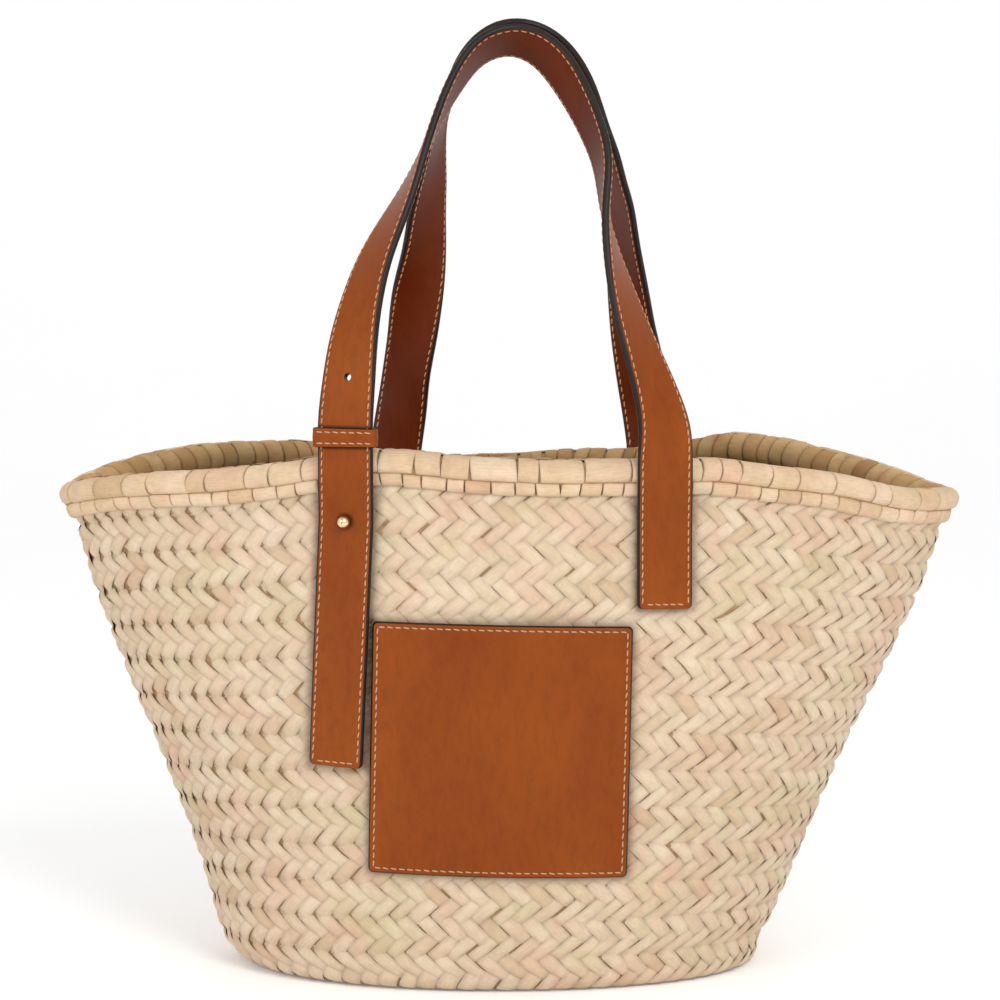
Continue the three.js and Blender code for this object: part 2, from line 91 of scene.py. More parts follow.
FLOAT_PITCH = 10.7  # from one strand to the next along a row
STRAND_WIDTH = 6.5
FLOAT_REACH = 1.6  # from a float's middle to its tucked end, where 1 is the row's border
FLOAT_RISE = 0.9  # how far a strand stands over the one it crosses
FLOAT_CROWN = 0.65  # how far a strand's edges curl in
FLOAT_TUCK = 0.45  # how far its ends go under, as a share of the rise
FLOAT_SINK = 0.7  # the weave's middle, in from the wall's face
FLOAT_WIDTH = (1.02, 0.035)  # mean and spread, where 1 fills the row
WIDTH_LIMITS = (0.9, 1.07)
LOOSE_WIDTH = 0.88
LOOSE_SHARE = 0.07  # share of the strands that are narrow and leave a hole
STRAY_ALONG = 0.05  # how far floats stray from their even places, in cells
STRAY_UP = 0.04
STRAY_OUT = 0.1  # and out of the wall, in millimetres
STRAY_LIMITS = (-0.25, 0.2)
WALL_LIMITS = (0.004, 0.985)  # where the weave starts and ends, as shares of the wall's height
FRONT_SHARE = 0.75  # share of the way round at the middle of the front, where the rows line up
CORE_DEPTH = 1.15  # from either face of the wall to the dark sheet in its middle
SEAM_DIP = 1.0  # how far the wall dips where two strips are sewn together
SEAM_WIDTH = 2.4
EDGE_SHADE = 0.21  # painted shade along a strand's edges and at its ends where they go under
LEATHER_SHADE = 0.55  # how dark the weave is right beside the leather
SHADE_REACH = 2.9  # how far that shade reaches
BASE_RINGS = 4
BASE_LIFT = 0.65  # the outer weave's height over the floor
BASE_TOP = 0.35  # the inner weave's depth under the base's upper face
BASE_CORE = (0.9, 2.1)  # the dark sheet's two faces in the base, up from the floor
MAP_STEP = 20  # between two strands on the flat map, so that no two look alike
MAP_SPREAD = 40  # how far each is moved along it
WRAP_STRAY = (0.03, 0.25, 0.3, 0.0007)  # how much wraps vary in fullness, height, tilt and slant

# Sizes of the stitches

STITCH_PITCH = 4.3
STITCH_LENGTH = 3.2
STITCH_THICK = 0.38
STITCH_INSET = 2.3
STITCH_SINK = 0.1
STITCH_TILT = (0.1, 0.06)  # mean and spread

rng = np.random.default_rng(7)

# The basket's sections, rims and strap runs, as in the part's source but for small shifts and a few degrees
# of twist near the top of the left legs

WALL_ROWS = {  # up: width, depth, shift, power
    0: (0.556, 0.95, -0.014, 0.46),
    0.01: (0.58, 1.005, -0.022, 0.46),
    0.03: (0.6, 1.04, -0.031, 0.47),
    0.052: (0.611, 1.06, -0.039, 0.48),
    0.097: (0.634, 1.085, -0.034, 0.49),
    0.228: (0.684, 1.12, -0.024, 0.52),
    0.425: (0.766, 1.15, -0.019, 0.56),
    0.623: (0.86, 1.12, -0.012, 0.61),
    0.82: (0.945, 1.06, -0.003, 0.66),
    1: (1, 1, 0, 0.7),
}
FRONT_RIM = {  # across: climb
    -1: 0.1, -0.97: 0.2, -0.91: 0.32, -0.78: 0.45, -0.66: 0.55, -0.52: 0.7, -0.35: 0.94, -0.27: 1,
    -0.06: 0.86, 0.11: 0.81, 0.43: 0.81, 0.56: 0.67, 0.73: 0.44, 0.85: 0.18, 0.91: 0.08, 1: 0.02,
}
BACK_RIM = {
    -1: 0.1, -0.97: 0.28, -0.915: 0.44, -0.83: 0.62, -0.7: 0.755, -0.53: 0.77, -0.35: 0.6, -0.2: 0.42,
    0: 0.46, 0.12: 0.54, 0.29: 0.58, 0.44: 0.78, 0.54: 0.94, 0.64: 0.86, 0.75: 0.65, 0.83: 0.5, 0.9: 0.3,
    0.97: 0.09, 1: 0.02,
}
FRONT_RUN = (  # reach, rise, lean, twist, over
    (-1, 0.075, 1, -79, 0),
    (-0.98, 0.165, 0.975, -70, 0),
    (-0.95, 0.27, 0.93, -57, 0),
    (-0.896, 0.371, 0.875, -43, 0),
    (-0.812, 0.475, 0.8, -32, 0),
    (-0.632, 0.615, 0.675, -14, 0),
    (-0.522, 0.72, 0.56, -2, 0),
    (-0.43, 0.807, 0.455, 4, 0),
    (-0.345, 0.876, 0.38, 10, 0),
    (-0.205, 0.958, 0.27, 18, 0),
    (-0.075, 0.991, 0.205, 24, 0),
    (0.06, 1, 0.18, 29, 0),
    (0.2, 0.982, 0.205, 33, 0),
    (0.32, 0.942, 0.26, 33, 0),
    (0.43, 0.88, 0.345, 29, 0),
    (0.544, 0.79, 0.46, 22, 0),
    (0.622, 0.697, 0.575, 14, 0),
    (0.633, 0.584, 0.69, 0, 0),
    (0.671, 0.484, 0.785, -11, 0),
    (0.748, 0.364, 0.87, -27, 0),
    (0.85, 0.246, 0.94, -37, 0),
    (0.955, 0.127, 0.985, -52, 0),
    (0.998, 0.052, 1, -68, 0),
)
BACK_RUN = (
    (-0.948, 0.065, 1, -104, 0),
    (-0.916, 0.15, 0.97, -112, 0),
    (-0.866, 0.25, 0.915, -106, 0),
    (-0.827, 0.35, 0.84, -84, 0),
    (-0.773, 0.464, 0.745, -52, 0),
    (-0.745, 0.577, 0.63, -38, 0),
    (-0.715, 0.651, 0.545, -28, 0),
    (-0.69, 0.722, 0.46, -18, 0),
    (-0.65, 0.798, 0.36, -7, 0),
    (-0.585, 0.854, 0.27, -4, 0),
    (-0.49, 0.906, 0.17, -8, 0),
    (-0.372, 0.956, 0.05, -16, 0.2),
    (-0.215, 0.989, -0.06, -23, 0.7),
    (-0.06, 1, -0.13, -27, 1),
    (0.09, 0.984, -0.125, -30, 1),
    (0.225, 0.944, -0.06, -30, 1),
    (0.35, 0.882, 0.05, -27, 0.9),
    (0.482, 0.792, 0.2, -24, 0.35),
    (0.585, 0.722, 0.32, -22, 0.15),
    (0.653, 0.656, 0.43, -22, 0),
    (0.72, 0.584, 0.55, -24, 0),
    (0.762, 0.478, 0.68, -32, 0),
    (0.811, 0.346, 0.82, -48, 0),
    (0.842, 0.27, 0.875, -55, 0),
    (0.881, 0.2, 0.92, -66, 0),
    (0.925, 0.12, 0.965, -74, 0),
    (0.955, 0.066, 0.995, -77, 0),
)

# Small tools

BASE_LOW, BASE_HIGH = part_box("basket_body")
SHIFT_Y = (BASE_LOW.y + BASE_HIGH.y) / 2  # the part is centred on its box, so the basket sits a little back


def smooth(places, values, at):
    """Values between a table's places, on a curve that never overshoots."""
    x = np.asarray(places, float)
    y = np.asarray(values, float)
    at = np.clip(at, x[0], x[-1])
    i = np.clip(np.searchsorted(x, at, side="right") - 1, 0, len(x) - 2)
    run = np.diff(x)
    straight = np.diff(y) / run
    slope = np.zeros_like(y)
    slope[0], slope[-1] = straight[0], straight[-1]
    before, after = straight[:-1], straight[1:]
    agree = before * after > 0
    slope[1:-1] = np.where(agree, 2 * before * after / np.where(agree, before + after, 1), 0)
    t = (at - x[i]) / run[i]
    bend = t * (t - 1) * ((slope[i] - straight[i]) * (t - 1) + (slope[i + 1] - straight[i]) * t) * run[i]
    return y[i] + (y[i + 1] - y[i]) * t + bend


def unit(vectors):
    return vectors / np.maximum(np.linalg.norm(vectors, axis=-1, keepdims=True), 1e-9)


def points_of(x, y, z):
    return np.stack(np.broadcast_arrays(x, y, z), axis=-1).astype(float)


def lengths_along(points):
    """The length from the first of a line of points to each of them."""
    return np.concatenate([[0], np.cumsum(np.linalg.norm(np.diff(points, axis=0), axis=1))])


def rows_at(places, way, rows):
    """The rows' directions or points at lengths along a way."""
    return np.stack([np.interp(places, way, rows[:, i]) for i in range(3)], -1)


def grid_faces(rows, columns, closed_rows=False, closed_columns=False):
    """Quads of a grid of points numbered row by row."""
    i = np.arange(rows if closed_rows else rows - 1)
    j = np.arange(columns if closed_columns else columns - 1)
    i, j = np.meshgrid(i, j, indexing="ij")
    k, l = (i + 1) % rows, (j + 1) % columns
    return np.stack([i * columns + j, i * columns + l, k * columns + l, k * columns + j], -1).reshape(-1, 4)


class Sheets:
    """Collects grids of points into one mesh, with a flat map in millimetres, a tint for each grid and a
    painted shade, from 0 to 1, that darkens its edges."""

    def __init__(self):
        self.points, self.faces, self.maps, self.tints, self.shades, self.looks = [], [], [], [], [], []
        self.count = 0

    def add(self, points, flat=None, tint=0.5, shade=0.0, look=0, closed_rows=False, closed_columns=False):
        """points has the shape (grids, rows, columns, 3)."""
        grids, rows, columns, _ = points.shape
        faces = grid_faces(rows, columns, closed_rows, closed_columns)
        starts = self.count + np.arange(grids) * rows * columns
        self.points.append(points.reshape(-1, 3))
        self.faces.append((faces[None] + starts[:, None, None]).reshape(-1, 4))
        self.looks.append(np.full(grids * len(faces), look))
        flat = np.broadcast_to(0.0 if flat is None else flat, (grids, rows, columns, 2))
        self.maps.append(flat.reshape(-1, 2))
        tint = np.broadcast_to(np.asarray(tint, float).reshape(-1, 1), (grids, rows * columns))
        self.tints.append(tint.reshape(-1))
        self.shades.append(np.broadcast_to(shade, (grids, rows, columns)).reshape(-1))
        self.count += grids * rows * columns

    def piece(self, name, materials, slot, nodes):
        points = np.concatenate(self.points) / 1000
        points[:, 1] += SHIFT_Y
        faces = np.concatenate(self.faces)
        mesh = bpy.data.meshes.new(name)
        mesh.vertices.add(len(points))
        mesh.vertices.foreach_set("co", points.ravel())
        mesh.loops.add(faces.size)
        mesh.loops.foreach_set("vertex_index", faces.ravel())
        mesh.polygons.add(len(faces))
        mesh.polygons.foreach_set("loop_start", np.arange(len(faces)) * 4)
        mesh.polygons.foreach_set("use_smooth", np.ones(len(faces), bool))
        mesh.polygons.foreach_set("material_index", np.concatenate(self.looks).astype(int))
        uv = mesh.uv_layers.new(name="flat")
        uv.data.foreach_set("uv", np.concatenate(self.maps)[faces.ravel()].ravel())
        for label, values in (("tint", self.tints), ("shade", self.shades)):
            layer = mesh.attributes.new(label, "FLOAT", "POINT")
            layer.data.foreach_set("value", np.concatenate(values))
        mesh.update(calc_edges=True)
        mesh.validate()
        for material in materials:
            mesh.materials.append(material)
        piece = bpy.data.objects.new(name, mesh)
        bpy.context.scene.collection.objects.link(piece)
        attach(piece, "root")
        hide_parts(*nodes)
        return piece


# The basket's form

UPS = np.array(list(WALL_ROWS))
SECTIONS = np.array(list(WALL_ROWS.values()))


def rim_height(across, side):
    front = smooth(list(FRONT_RIM), list(FRONT_RIM.values()), across)
    back = smooth(list(BACK_RIM), list(BACK_RIM.values()), across)
    return BASKET_HEIGHT + BASKET_CROWN * np.where(np.asarray(side) < 0, front, back)


def section_at(up, offset=0.0):
    """The level section at a share of the height, moved out of the wall's face by offset."""
    step = 0.01
    up = np.asarray(up, float)
    offset = np.asarray(offset, float)
    low, high = np.clip(up - step, 0, 1 - 2 * step), np.clip(up + step, 2 * step, 1)
    width, depth, shift, power = (smooth(UPS, SECTIONS[:, i], up) for i in range(4))
    rise = 2 * step * BASKET_HEIGHT
    lean = []
    for i, size in enumerate((BASKET_WIDTH, BASKET_DEPTH)):
        growth = smooth(UPS, SECTIONS[:, i], high) - smooth(UPS, SECTIONS[:, i], low)
        lean.append(np.hypot(1, growth * size / 2 / rise))
    tip = np.where(offset < -1.5, 1 + 3 * (power - 0.5), 1)
    return (
        shift * BASKET_WIDTH / 2,
        width * BASKET_WIDTH / 2 + offset * lean[0] * tip,
        depth * BASKET_DEPTH / 2 + offset * lean[1],
        power,
    )


def basket_point(angle, up, offset=0.0):
    middle, half_width, half_depth, power = section_at(up, offset)
    across, along = np.cos(angle), np.sin(angle)
    y = half_depth * np.sign(along) * np.abs(along) ** (2 * power)
    return points_of(middle + half_width * across, y, up * rim_height(across, along))


def wall_point(x, z, side, offset=0.0):
    """The point of the front or back wall at x and z, moved out of its face by offset."""
    x, z = np.asarray(x, float), np.asarray(z, float)
    up = z / BASKET_HEIGHT
    for _ in range(8):
        middle, half_width, half_depth, power = section_at(np.clip(up, 0, 1.05), offset)
        across = np.clip((x - middle) / half_width, -1, 1)
        up = z / rim_height(across, side)
    return points_of(x, side * half_depth * (1 - across**2) ** power, z)


def edge_height(x, side):
    middle, half_width, _, _ = section_at(1.0)
    return float(rim_height((x - middle) / half_width, side))


def evenly(up):
    """The angle at each share of the way round a level section, and the section's girth."""
    angles = np.linspace(0, 2 * np.pi, 1441)
    length = lengths_along(basket_point(angles, up))

    def angle_at(share):
        return np.interp(share % 1, length / length[-1], angles)

    return angle_at, length[-1]


# The weave

def beyond_box(across, up, half_width, half_height):
    """The distance of places from a level rectangle round 0, and 0 inside it."""
    return np.hypot(np.maximum(np.abs(across) - half_width, 0), np.maximum(np.abs(up) - half_height, 0))


def beside_leather(points):
    """The shade on the wall right beside the leather, which is deepest between two pieces."""
    far = 99
    x, y, z = np.moveaxis(points, -1, 0)
    turn = math.radians(PATCH_TILT)
    across = (x - PATCH_X) * math.cos(turn) + (z - PATCH_Z) * math.sin(turn)
    up = (z - PATCH_Z) * math.cos(turn) - (x - PATCH_X) * math.sin(turn)
    beyond = [np.where(y < 0, beyond_box(across, up, PATCH_WIDTH / 2, PATCH_HEIGHT / 2), far)]
    legs = [(-1, FRONT_LEGS[0], TAIL, TAIL_DRIFT), (-1, FRONT_LEGS[1], SEWN, 0)]
    legs += [(1, leg, SEWN, 0) for leg in BACK_LEGS]
    for side, leg, length, drift in legs:
        edge = edge_height(leg, side)
        middle = leg - drift * np.clip((edge - z - STUD_BELOW) / (length - STUD_BELOW), 0, None)
        aside = np.maximum(np.abs(x - middle) - STRAP_WIDTH / 2, 0)
        distance = np.hypot(aside, np.maximum(edge - length - z, 0))
        beyond.append(np.where(y * side > 0, distance, far))
    shades = np.exp(-((np.array(beyond) / SHADE_REACH) ** 2))
    return np.clip(LEATHER_SHADE * shades.sum(axis=0), 0, 1)


def float_grid(across_points, along_points):
    """Places on one float, in cells: t runs along the strand and w across it."""
    t = np.linspace(-FLOAT_REACH, FLOAT_REACH, along_points)
    w = np.linspace(-0.5, 0.5, across_points)
    return np.meshgrid(t, w, indexing="ij")


def spread(values):
    """One value for each float, ready to meet its grid of points."""
    return values[:, None, None]


def weave_strip(sheets, place, girth, low, high, tall, fine, outward, limits):
    """Fills a strip with slanting floats. place(share round, share up, offset) gives its points.
    The floats' ends dip under the next strip, and stay between the limits of the whole wall."""
    count = round(girth / FLOAT_PITCH)
    pitch = 1 / count
    row_height = (high - low) / ROWS_PER_STRIP
    length = math.hypot(girth * pitch, tall / ROWS_PER_STRIP)
    t, w = float_grid(5, 9) if fine else float_grid(3, 7)
    arch = np.maximum(np.cos(np.pi * t / 2), -FLOAT_TUCK)
    crown = FLOAT_CROWN * (2 * w) ** 2 * (0.45 + 0.55 * np.clip(arch, 0, 1))
    # painted shade: each strand darkens along its edges and at the ends that go under its neighbours
    edge_shade = EDGE_SHADE * np.maximum((2 * np.abs(w)) ** 4, np.clip(0.5 - arch * 2, 0, 1))
    for row in range(ROWS_PER_STRIP):
        number = np.arange(count)
        lean = 1 if row % 2 == 0 else -1
        along, thick, out, rise = rng.normal(0, 1, (4, count))
        centre = FRONT_SHARE + (number + 0.5 * (1 - row % 2) + STRAY_ALONG * along) * pitch
        width = np.clip(FLOAT_WIDTH[0] + FLOAT_WIDTH[1] * thick, *WIDTH_LIMITS)
        width = np.where(rng.random(count) < LOOSE_SHARE, LOOSE_WIDTH, width)
        wide = w[None] * spread(width)
        share = spread(centre) + (t + wide) * pitch / 2
        middle = low + (row + 0.5) * row_height
        up = middle + lean * (t - wide) * row_height / 2 + spread(STRAY_UP * rise * row_height)
        up = np.clip(up, *limits)
        lift = spread(np.clip(STRAY_OUT * out, *STRAY_LIMITS))
        points = place(share, up, outward * (FLOAT_RISE * arch - crown + lift - FLOAT_SINK))
        shade = np.maximum(edge_shade, beside_leather(points) if outward > 0 else 0)
        map_across = np.broadcast_to(w * STRAND_WIDTH, share.shape) + spread(MAP_STEP * number)
        map_along = np.broadcast_to(t * length / 2, share.shape) + spread(MAP_SPREAD * rng.random(count))
        sheets.add(points, np.stack([map_across, map_along], -1), tint=rng.random(count), shade=shade)


def seam_dip(up):
    """How far the wall lies in from its face at a share of its height, near a seam between strips."""
    strip = np.asarray(up, float) * STRIPS
    nearest = np.clip(np.round(strip), 1, STRIPS - 1)
    distance = (strip - nearest) * BASKET_HEIGHT / STRIPS
    return SEAM_DIP * np.exp(-((distance / SEAM_WIDTH) ** 2))


def wall_place(strip_up, base):
    angle_at, girth = evenly(strip_up)

    def place(share, up, offset):
        return basket_point(angle_at(share), up, offset + base - seam_dip(up))

    return place, girth


def base_place(height):
    """The flat base, woven in rings that are placed by their distance in from its outline."""
    middle, half_width, half_depth, power = section_at(0.0)
    angle_at, girth = evenly(0.0)

    def place(share, inward, offset):
        angle = angle_at(share)
        across, along = np.cos(angle), np.sin(angle)
        x = middle + (half_width - inward) * across
        y = (half_depth - inward) * np.sign(along) * np.abs(along) ** (2 * power)
        return points_of(x, y, height - offset)

    return place, girth


def weave(name, base, outward, fine, material):
    sheets = Sheets()
    tall = BASKET_HEIGHT / STRIPS
    for strip in range(STRIPS):
        low, high = strip / STRIPS, (strip + 1) / STRIPS
        place, girth = wall_place((low + high) / 2, base)
        weave_strip(sheets, place, girth, low, high, tall, fine, outward, WALL_LIMITS)
    half_depth = float(section_at(0.0)[2])
    ring = (half_depth - 3) / BASE_RINGS
    height = BASE_LIFT if outward > 0 else WALL - BASE_TOP
    limits = (0.4, half_depth - 2)
    for step in range(BASE_RINGS):
        place, girth = base_place(height)
        girth = girth - 2 * np.pi * (step + 0.5) * ring
        weave_strip(sheets, place, girth, step * ring, (step + 1) * ring, ring, False, outward, limits)
    sheets.piece(name, [material], "straw", ["basket_body"])


def core(material):
    """A sheet inside the wall, in painted shade, which shows through the small gaps between strands."""
    sheets = Sheets()
    angles = np.linspace(0, 2 * np.pi, 145)[:-1]
    ups = np.linspace(0, 1, 6 * STRIPS + 1)
    outer = [basket_point(angles, up, -CORE_DEPTH - seam_dip(up)) for up in ups]
    inner = [basket_point(angles, up, CORE_DEPTH - WALL - seam_dip(up)) for up in ups[:0:-1]]
    middle = section_at(0.0)[0]
    discs = []
    for share in (0.66, 0.33, 0.001):
        ring = outer[0].copy()
        ring[:, 0] = middle + (ring[:, 0] - middle) * share
        ring[:, 1] *= share
        discs.append(ring)
    under = [ring + np.array([0, 0, BASE_CORE[0]]) for ring in [*discs[::-1], outer[0]]]
    over = [ring + np.array([0, 0, BASE_CORE[1]]) for ring in discs]
    sheets.add(np.array([under + outer[1:] + inner + over]), closed_columns=True, tint=0.2)
    sheets.piece("weave_core", [material], "straw", ["basket_body"])


# The wrapped rim

ROLL_PROFILE = (  # offset, rise: the upper row, from its lower outer edge to just over the top
    (0.8, -7.9), (3.2, -7.8), (4.6, -6.9), (5.2, -4.6), (4.9, -1.6), (3.1, 1.6), (0.6, 3.4), (-1.8, 3.9),
    (-3.4, 3.4),
)
INNER_PROFILE = (  # the same binding's inner side
    (-1, 3.5), (-3.2, 4.1), (-5.6, 3.3), (-7.6, 0.8), (-8.6, -2.6), (-8.5, -6.6), (-7.2, -10), (-4.2, -12.4),
)
LACE_PROFILE = (  # the lower row
    (0.4, -7.2), (2.4, -7.9), (3.1, -9.2), (3.2, -11.6), (2.7, -13.6), (1.6, -14.6), (0.3, -14.9),
)
CORE_PROFILE = (  # the ring inside them, in painted shade
    (0.6, -14.2), (1.6, -9.5), (3.4, -7), (3.8, -2), (1, 2), (-2.4, 2.7), (-5, 1.6), (-6.6, -1.2), (-6.6, -7),
    (-3.6, -12),
)
SQUARE_ENDS = (  # share of a wrap's length, fullness
    (0, 0), (0.012, 0.78), (0.045, 0.95), (0.14, 1), (0.5, 1.02), (0.86, 1), (0.955, 0.95), (0.988, 0.78),
    (1, 0),
)
ROUND_ENDS = (
    (0, 0), (0.03, 0.5), (0.1, 0.8), (0.25, 1), (0.5, 1.08), (0.75, 1), (0.9, 0.8), (0.97, 0.5), (1, 0),
)
RIM_ROWS = (  # name, profile, least and most length, gap, depth of the joints, ends, painted shade lower down
    ("rim_wraps", ROLL_PROFILE, (10, 25), 0.5, 1.1, SQUARE_ENDS, 0),
    ("rim_inside", INNER_PROFILE, (7, 11), 0.5, 1.6, ROUND_ENDS, 0.8),
    ("rim_lace", LACE_PROFILE, (9, 14), 0.6, 1.3, SQUARE_ENDS, 0),
)


def rim_point(angle, offset, rise):
    edge = basket_point(angle, 1.0)[..., 2]
    up = 1 + np.minimum(rise, 0) / edge
    point = basket_point(angle, up, offset)
    point[..., 2] = edge + rise
    return point


def lengths_round(girth, shortest, longest):
    """Shares of the way round at which the wraps begin, with lengths that vary."""
    sizes = []
    while sum(sizes) < girth:
        sizes.append(rng.uniform(shortest, longest))
    return np.concatenate([[0], np.cumsum(sizes)]) / sum(sizes)


def wraps(sheets, profile, sizes, gap, joint_depth, ends, darker):
    """A row of wraps round the rim, each a bulged cushion with its own length, lean and tint."""
    angle_at, girth = evenly(1.0)
    starts = lengths_round(girth, *sizes)
    offsets, rises = np.array(profile).T
    ends, fullness = np.array(ends).T
    middle_rise = rises.mean()
    around = lengths_along(np.array(profile))
    # painted shade in the joints between wraps, and lower down on the rim's inside
    joint = np.clip((1 - fullness[:, None]) * 0.4, 0, 0.36)
    shade = np.maximum(joint, darker * np.linspace(0, 1, len(offsets))[None] ** 1.5)
    for i in range(len(starts) - 1):
        low = starts[i] + gap / girth / 2
        high = starts[i + 1] - gap / girth / 2
        share = low + (high - low) * ends
        size, lift, tip, slant = rng.normal(0, 1, 4) * WRAP_STRAY
        full = fullness[:, None] * (1 + size)
        offset = offsets[None] - np.sign(offsets[None]) * joint_depth * (1 - full)
        rise = rises[None] + (middle_rise - rises[None]) * 0.1 * (1 - full)
        rise = rise + lift + tip * (ends[:, None] - 0.5)
        lean = slant * (rises[None] - middle_rise) / 9
        points = rim_point(angle_at(share[:, None] + lean), offset, rise)
        length = (high - low) * girth
        map_across = np.broadcast_to(around[None] / 2 + MAP_STEP * i, offset.shape)
        map_along = np.broadcast_to(ends[:, None] * length + MAP_SPREAD * rng.random(), offset.shape)
        flat = np.stack([map_across, map_along], -1)
        sheets.add(points[None], flat[None], tint=rng.random(), shade=shade[None])


def rim(material, shaded_inner_material, core_material):
    for name, *row in RIM_ROWS:
        sheets = Sheets()
        wraps(sheets, *row)
        # the rim's inside takes the browner straw that is also darkened as painted shade
        chosen = shaded_inner_material if name == "rim_inside" else material
        sheets.piece(name, [chosen], "straw", ["rim_binding"])
    sheets = Sheets()
    angles = np.linspace(0, 2 * np.pi, 385)[:-1]
    rings = np.array([rim_point(angles, offset, rise) for offset, rise in CORE_PROFILE])
    sheets.add(rings[None], closed_rows=True, closed_columns=True, tint=0.1)
    sheets.piece("rim_core", [core_material], "straw", ["rim_binding"])


# The straps

def leg_knots(side, x, length, drift):
    """Knots of one leg on the wall, from its end up over the binding: point and twist."""
    edge = edge_height(x, side)
    half = STRAP_THICKNESS / 2 + GAP
    rests = [  # rise from the rim's edge, distance from the wall
        (-length, 0), (-length + STRAP_CORNER, 0), (-0.75 * length, 0), (-0.55 * length, 0),
        (-2.6 * BINDING_OUTSIDE, 0), (-2.05 * BINDING_OUTSIDE, 0),
        (-1.55 * BINDING_OUTSIDE, 0.35 * LACE_PROUD),
        (-1.05 * BINDING_OUTSIDE, LACE_PROUD + 0.4), (-0.5 * BINDING_OUTSIDE, ROLL_PROUD),
        (0, ROLL_PROUD + 0.2), (BINDING_TOP + 1, ROLL_PROUD + 0.2),
    ]
    kept = [rest for i, rest in enumerate(rests) if i < 2 or rest[0] > -length + 3 * STRAP_CORNER]
    knots = []
    for rise, rest in sorted(kept):
        place = x - drift * max(0, (-rise - STUD_BELOW) / (length - STUD_BELOW))
        point = wall_point(place, edge + rise, side, half + rest)
        beside = wall_point(place + 1, edge + rise, side, half + rest)
        knots.append((point, math.degrees(math.atan(abs(beside[1] - point[1]))) - 90, 0))
    return knots


def through(knots, places):
    """Points on a centripetal curve through the knots, at places counted in knots."""
    knots = np.array(knots, float)
    padded = np.vstack([2 * knots[0] - knots[1], knots, 2 * knots[-1] - knots[-2]])
    i = np.clip(np.floor(places).astype(int), 0, len(knots) - 2)
    w = (places - i)[:, None]
    p0, p1, p2, p3 = (padded[i + k] for k in range(4))
    pairs = ((p0, p1), (p1, p2), (p2, p3))
    d0, d1, d2 = (np.sqrt(np.linalg.norm(b - a, axis=1))[:, None] for a, b in pairs)
    t1 = ((p1 - p0) / d0 - (p2 - p0) / (d0 + d1) + (p2 - p1) / d1) * d1
    t2 = ((p2 - p1) / d1 - (p3 - p1) / (d1 + d2) + (p3 - p2) / d2) * d1
    return p1 + w * (t1 + w * ((-3 * p1 + 3 * p2 - 2 * t1 - t2) + w * (2 * p1 - 2 * p2 + t1 + t2)))


def relaxed(values, passes):
    """The same row of values with its small kinks evened out and its ends kept."""
    values = values.copy()
    for _ in range(passes):
        values[1:-1] = 0.25 * values[:-2] + 0.5 * values[1:-1] + 0.25 * values[2:]
    return values


PER_KNOT = 8  # points on a strap's way from one knot to the next


class Course:
    """A strap's whole way: its middle, and the directions along, across and out of its face."""

    def __init__(self, side, legs, run, lengths, drift):
        left = leg_knots(side, legs[0], lengths[0], drift)
        right = leg_knots(side, legs[1], lengths[1], 0)[::-1]
        middle, half = sum(legs) / 2, (legs[1] - legs[0]) / 2
        top = edge_height(FRONT_LEGS[0], -1) + BINDING_TOP
        free = []
        for reach, rise, lean, twist, over in run:
            leg = left[-1] if reach < 0 else right[0]
            point = np.array([middle + half * reach, leg[0][1] * lean, top + HANDLE_RISE * rise])
            free.append((point, twist, over))
        knots = [*left, *free, *right]
        last = len(knots) - 1
        places = np.linspace(0, last, PER_KNOT * last + 1)
        at = np.arange(last + 1)
        points = through([knot[0] for knot in knots], places)
        turn = np.radians(smooth(at, [knot[1] for knot in knots], places))
        over = smooth(at, [knot[2] for knot in knots], places)
        along = unit(np.gradient(points, axis=0))
        aside = unit(np.stack([-along[:, 2], 0 * along[:, 0], along[:, 0]], -1))
        across = np.sin(turn)[:, None] * aside
        across[:, 1] += side * np.cos(turn)
        across = unit(across - (across * along).sum(1, keepdims=True) * along)
        out = side * np.cross(along, across)
        points = points + over[:, None] * (STRAP_THICKNESS + GAP) * out
        self.points = relaxed(points, 12)
        self.along = unit(np.gradient(self.points, axis=0))
        across = relaxed(across, 20)
        self.across = unit(across - (across * self.along).sum(1, keepdims=True) * self.along)
        self.out = side * np.cross(self.along, self.across)
        self.way = lengths_along(self.points)

    def at(self, way):
        """Point, across and out at lengths along the strap."""
        across, out = (unit(rows_at(way, self.way, rows)) for rows in (self.across, self.out))
        return rows_at(way, self.way, self.points), across, out

    def frame_at(self, way):
        """Point, across and out at one length along the strap."""
        return tuple(row[0] for row in self.at(np.array([way])))

    def way_at(self, z):
        """The length along the first leg at which the strap passes a height."""
        i = int(np.argmax(self.points[:, 2] > z))
        return float(np.interp(z, self.points[i - 1 : i + 1, 2], self.way[i - 1 : i + 1]))


def strap_section():
    """The strap's rounded section: across and out for each point, and the look of the face after it:
    0 for the outer face, 1 for the painted edges and 2 for the inner face."""
    half, thick = STRAP_WIDTH / 2, STRAP_THICKNESS / 2
    border = [1.05, 1.4, 1.9, 2.3, 2.7, 4]
    face = [inset - half for inset in border] + [-6, -2, 2, 6] + [half - inset for inset in border[::-1]]
    level = [-0.22, -0.06, -0.03, -0.2, -0.03, 0, 0.04, 0.08]
    level += level[::-1]
    outer = [(w, thick + n) for w, n in zip(face, level)]
    edge = [(half - 0.3, thick - 0.7), (half, thick - 1.5), (half, 1.5 - thick), (half - 0.3, 0.7 - thick)]
    inner = [(-w, -n) for w, n in outer]
    points = outer + edge + inner + [(-w, -n) for w, n in edge]
    paint = [1] * (len(edge) + 1)
    looks = [0] * (len(outer) - 1) + paint + [2] * (len(inner) - 1) + paint
    return np.array(points), np.array(looks)


